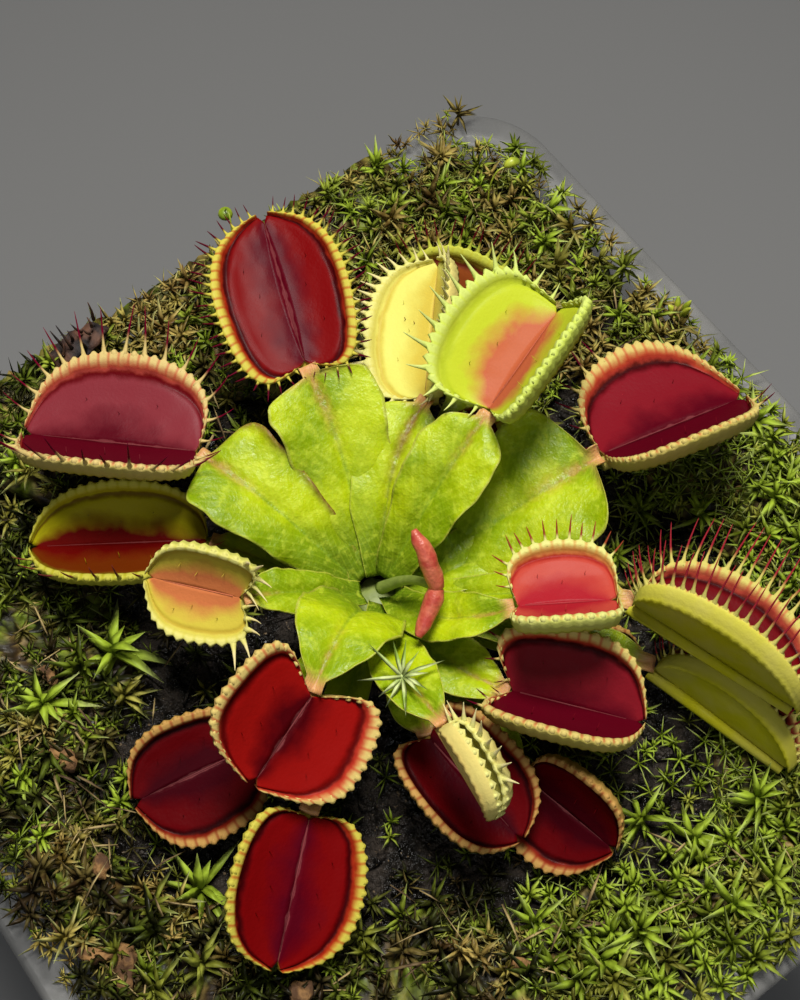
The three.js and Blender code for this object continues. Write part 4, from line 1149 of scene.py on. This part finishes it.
# The odds and ends in the moss: two spore capsules on thin bristles, one pale moss star that
# stands among the leaf bases, a seedling at the rim, and a dead dark trap on the left edge.
CAPSULES = [
    ([(-44.5, 9.4, 0.5), (-45.5, 9.8, 5), (-46.8, 10.6, 8.6), (-48, 11, 9), (-48.6, 11, 8)],
     (-48.7, 11, 6.6), False),
    ([(-35.4, 38.4, 0.5), (-36, 39, 3.4), (-36.2, 40, 5.2), (-36, 41, 5.6)], (-35.7, 43, 5.2), True),
]
LONE_STAR, SEEDLING = Vector((8.3, -6.5, 14.6)), Vector((-10.7, 46.4, 0))
DEAD_TRAP = Vector((-46.2, -10.8, 0.4))
SEED_LEAVES, NEEDLES, DEAD_HAIRS, HAIR_LIMIT = 5, 12, 11, 49.4

bm = bmesh.new()
for bristle, capsule, lying in CAPSULES:
    rod(bm, bristle, [0.14, 0.11, 0.09, 0.09], 6, 14)
    tail = Vector(bristle[-1])
    ends = [tail, tail.lerp(Vector(capsule), 0.5) + Vector((0, 0, 0.5 * lying)), Vector(capsule)]
    rod(bm, ends, [0.16, 0.5, 0.62, 0.5, 0.12] if lying else [0.25, 0.75, 0.85, 0.6, 0.2], 12, 12)
for stem in range(SEED_LEAVES):
    turn = stem * 1.256
    root = SEEDLING + Vector((0.3 * cos(turn), 0.3 * sin(turn), 0))
    tip = root + Vector((1.1 * cos(turn), 0.8 * sin(turn), 4.6 - stem * 0.7))
    rod(bm, [root, root.lerp(tip, 0.5) + Vector((0, 0, 0.6)), tip], [0.16, 0.42, 0.36, 0.05], 8, 8)
seed_green = two_tones("capsule_green", 0.4, 0.3, 0.0003, 420, 3, (0.16, 0.24, 0.01), (0.45, 0.50, 0.04))
finish_piece("capsules_and_seedling", bm, seed_green, "moss_green")

bm = bmesh.new()
rod(bm, [(6.6, -5.6, -3.2), (7.4, -6, 6), LONE_STAR], [0.28, 0.24, 0.2], 6, 8)
draw = random.Random(83)
for i in range(NEEDLES):
    needle = moss_leaf(bm, draw.uniform(2.6, 4.9), 0.34, draw.uniform(0.1, 0.6))
    lean = turned(i * 2.4, "Z") @ turned(draw.uniform(0.7, 1.6), "Y")
    spot = Matrix.Translation(LONE_STAR + Vector((0, 0, POT_HEIGHT - 0.1)))
    bmesh.ops.transform(bm, matrix=Matrix.Scale(MM, 4) @ spot @ lean, verts=needle)
star_white = two_tones("pale_star_moss", 0.5, 0.3, 0.0003, 500, 3, (0.24, 0.36, 0.05), (0.56, 0.63, 0.26))
finish_piece("pale_star", bm, star_white, "moss_green")

bm = bmesh.new()
husk = bmesh.ops.create_icosphere(bm, subdivisions=4, radius=1)["verts"]
for vert in husk:
    unit = vert.co.copy()
    crease = 0.35 * noise(unit * 1.6) + 0.16 * noise(unit * 5)
    spot = Vector((unit.x * 2.2, unit.y * 3.6, unit.z * 1.3)) * (0.85 + crease) + DEAD_TRAP
    vert.co = (spot + Vector((0, 0, POT_HEIGHT + 2.6 + 1.0 * unit.y))) * MM
for i in range(DEAD_HAIRS):
    root = DEAD_TRAP + Vector((draw.uniform(-1.4, 1.2), -3 + 0.6 * i, 2.6 + 0.25 * i))
    tip = root + Vector((draw.uniform(-1.6, 0.6), draw.uniform(-0.8, 0.8), draw.uniform(1.5, 3.6)))
    tip.x = max(tip.x, -HAIR_LIMIT)
    rod(bm, [root, root.lerp(tip, 0.6) + Vector((0.3, 0, 0)), tip], [0.22, 0.14, 0.05], 6, 6)
dead_brown = two_tones("dead_trap_brown", 0.75, 0.9, 0.0008, 380, 5, (0.010, 0.006, 0.006),
                       (0.12, 0.05, 0.025), 0.4, 0.7)
finish_piece("dead_trap", bm, dead_brown, "peat")


# The studio: a plain pale grey floor, a soft lamp above and behind the plant, a weaker one in
# front, and the camera high over the right front, as in the photograph.
FLOOR_GREY, AIR, AIR_STRENGTH = (0.195, 0.195, 0.193, 1), (0.93, 0.96, 1.0, 1), 0.07
LAMPS = [
    ("key", (-0.07, 0.06, 0.46), (0.01, -0.01, 0.09), 0.13, 1.05, (1.0, 0.98, 0.94), 130),
    ("fill", (0.35, -0.25, 0.5), (0, 0, 0.09), 0.4, 0.4, (0.95, 0.97, 1.0), 150),
]
AZIMUTH, ELEVATION, DISTANCE, LENS = radians(53.5), radians(66), 162, 54
AIM = Vector((-11.4, 7.8, POT_HEIGHT))

bm = bmesh.new()
bmesh.ops.create_grid(bm, x_segments=1, y_segments=1, size=3)
floor_mesh = mesh_from(bm, "studio_floor")
floor = bpy.data.objects.new("studio_floor", floor_mesh)
bpy.context.scene.collection.objects.link(floor)
floor_mesh.materials.append(new_material("studio_grey", Roughness=0.8, Base_Color=FLOOR_GREY)[0])

world = bpy.data.worlds.new("studio_air")
world.use_nodes = True
world.node_tree.nodes["Background"].inputs[0].default_value = AIR
world.node_tree.nodes["Background"].inputs[1].default_value = AIR_STRENGTH
bpy.context.scene.world = world


def stand(name, data, place, way):
    """Stands a lamp or camera in the studio, looking along the way."""
    stood = bpy.data.objects.new(name, data)
    stood.location = place
    stood.rotation_mode = "QUATERNION"
    stood.rotation_quaternion = way.to_track_quat("-Z", "Y")
    bpy.context.scene.collection.objects.link(stood)
    return stood


for name, place, aim, size, power, tone, spread in LAMPS:
    lamp = bpy.data.lights.new(name, "AREA")
    lamp.shape, lamp.size, lamp.energy, lamp.color = "DISK", size, power, tone
    lamp.spread = radians(spread)
    stand(name, lamp, place, Vector(aim) - Vector(place))

lens = bpy.data.cameras.new("camera")
lens.lens, lens.sensor_width, lens.clip_start, lens.clip_end = LENS, 36, 0.01, 20
back = Vector((sin(AZIMUTH) * cos(ELEVATION), -cos(AZIMUTH) * cos(ELEVATION), sin(ELEVATION)))
bpy.context.scene.camera = stand("camera", lens, (AIM + back * DISTANCE) * MM, -back)
bpy.context.scene.view_settings.view_transform = "Standard"
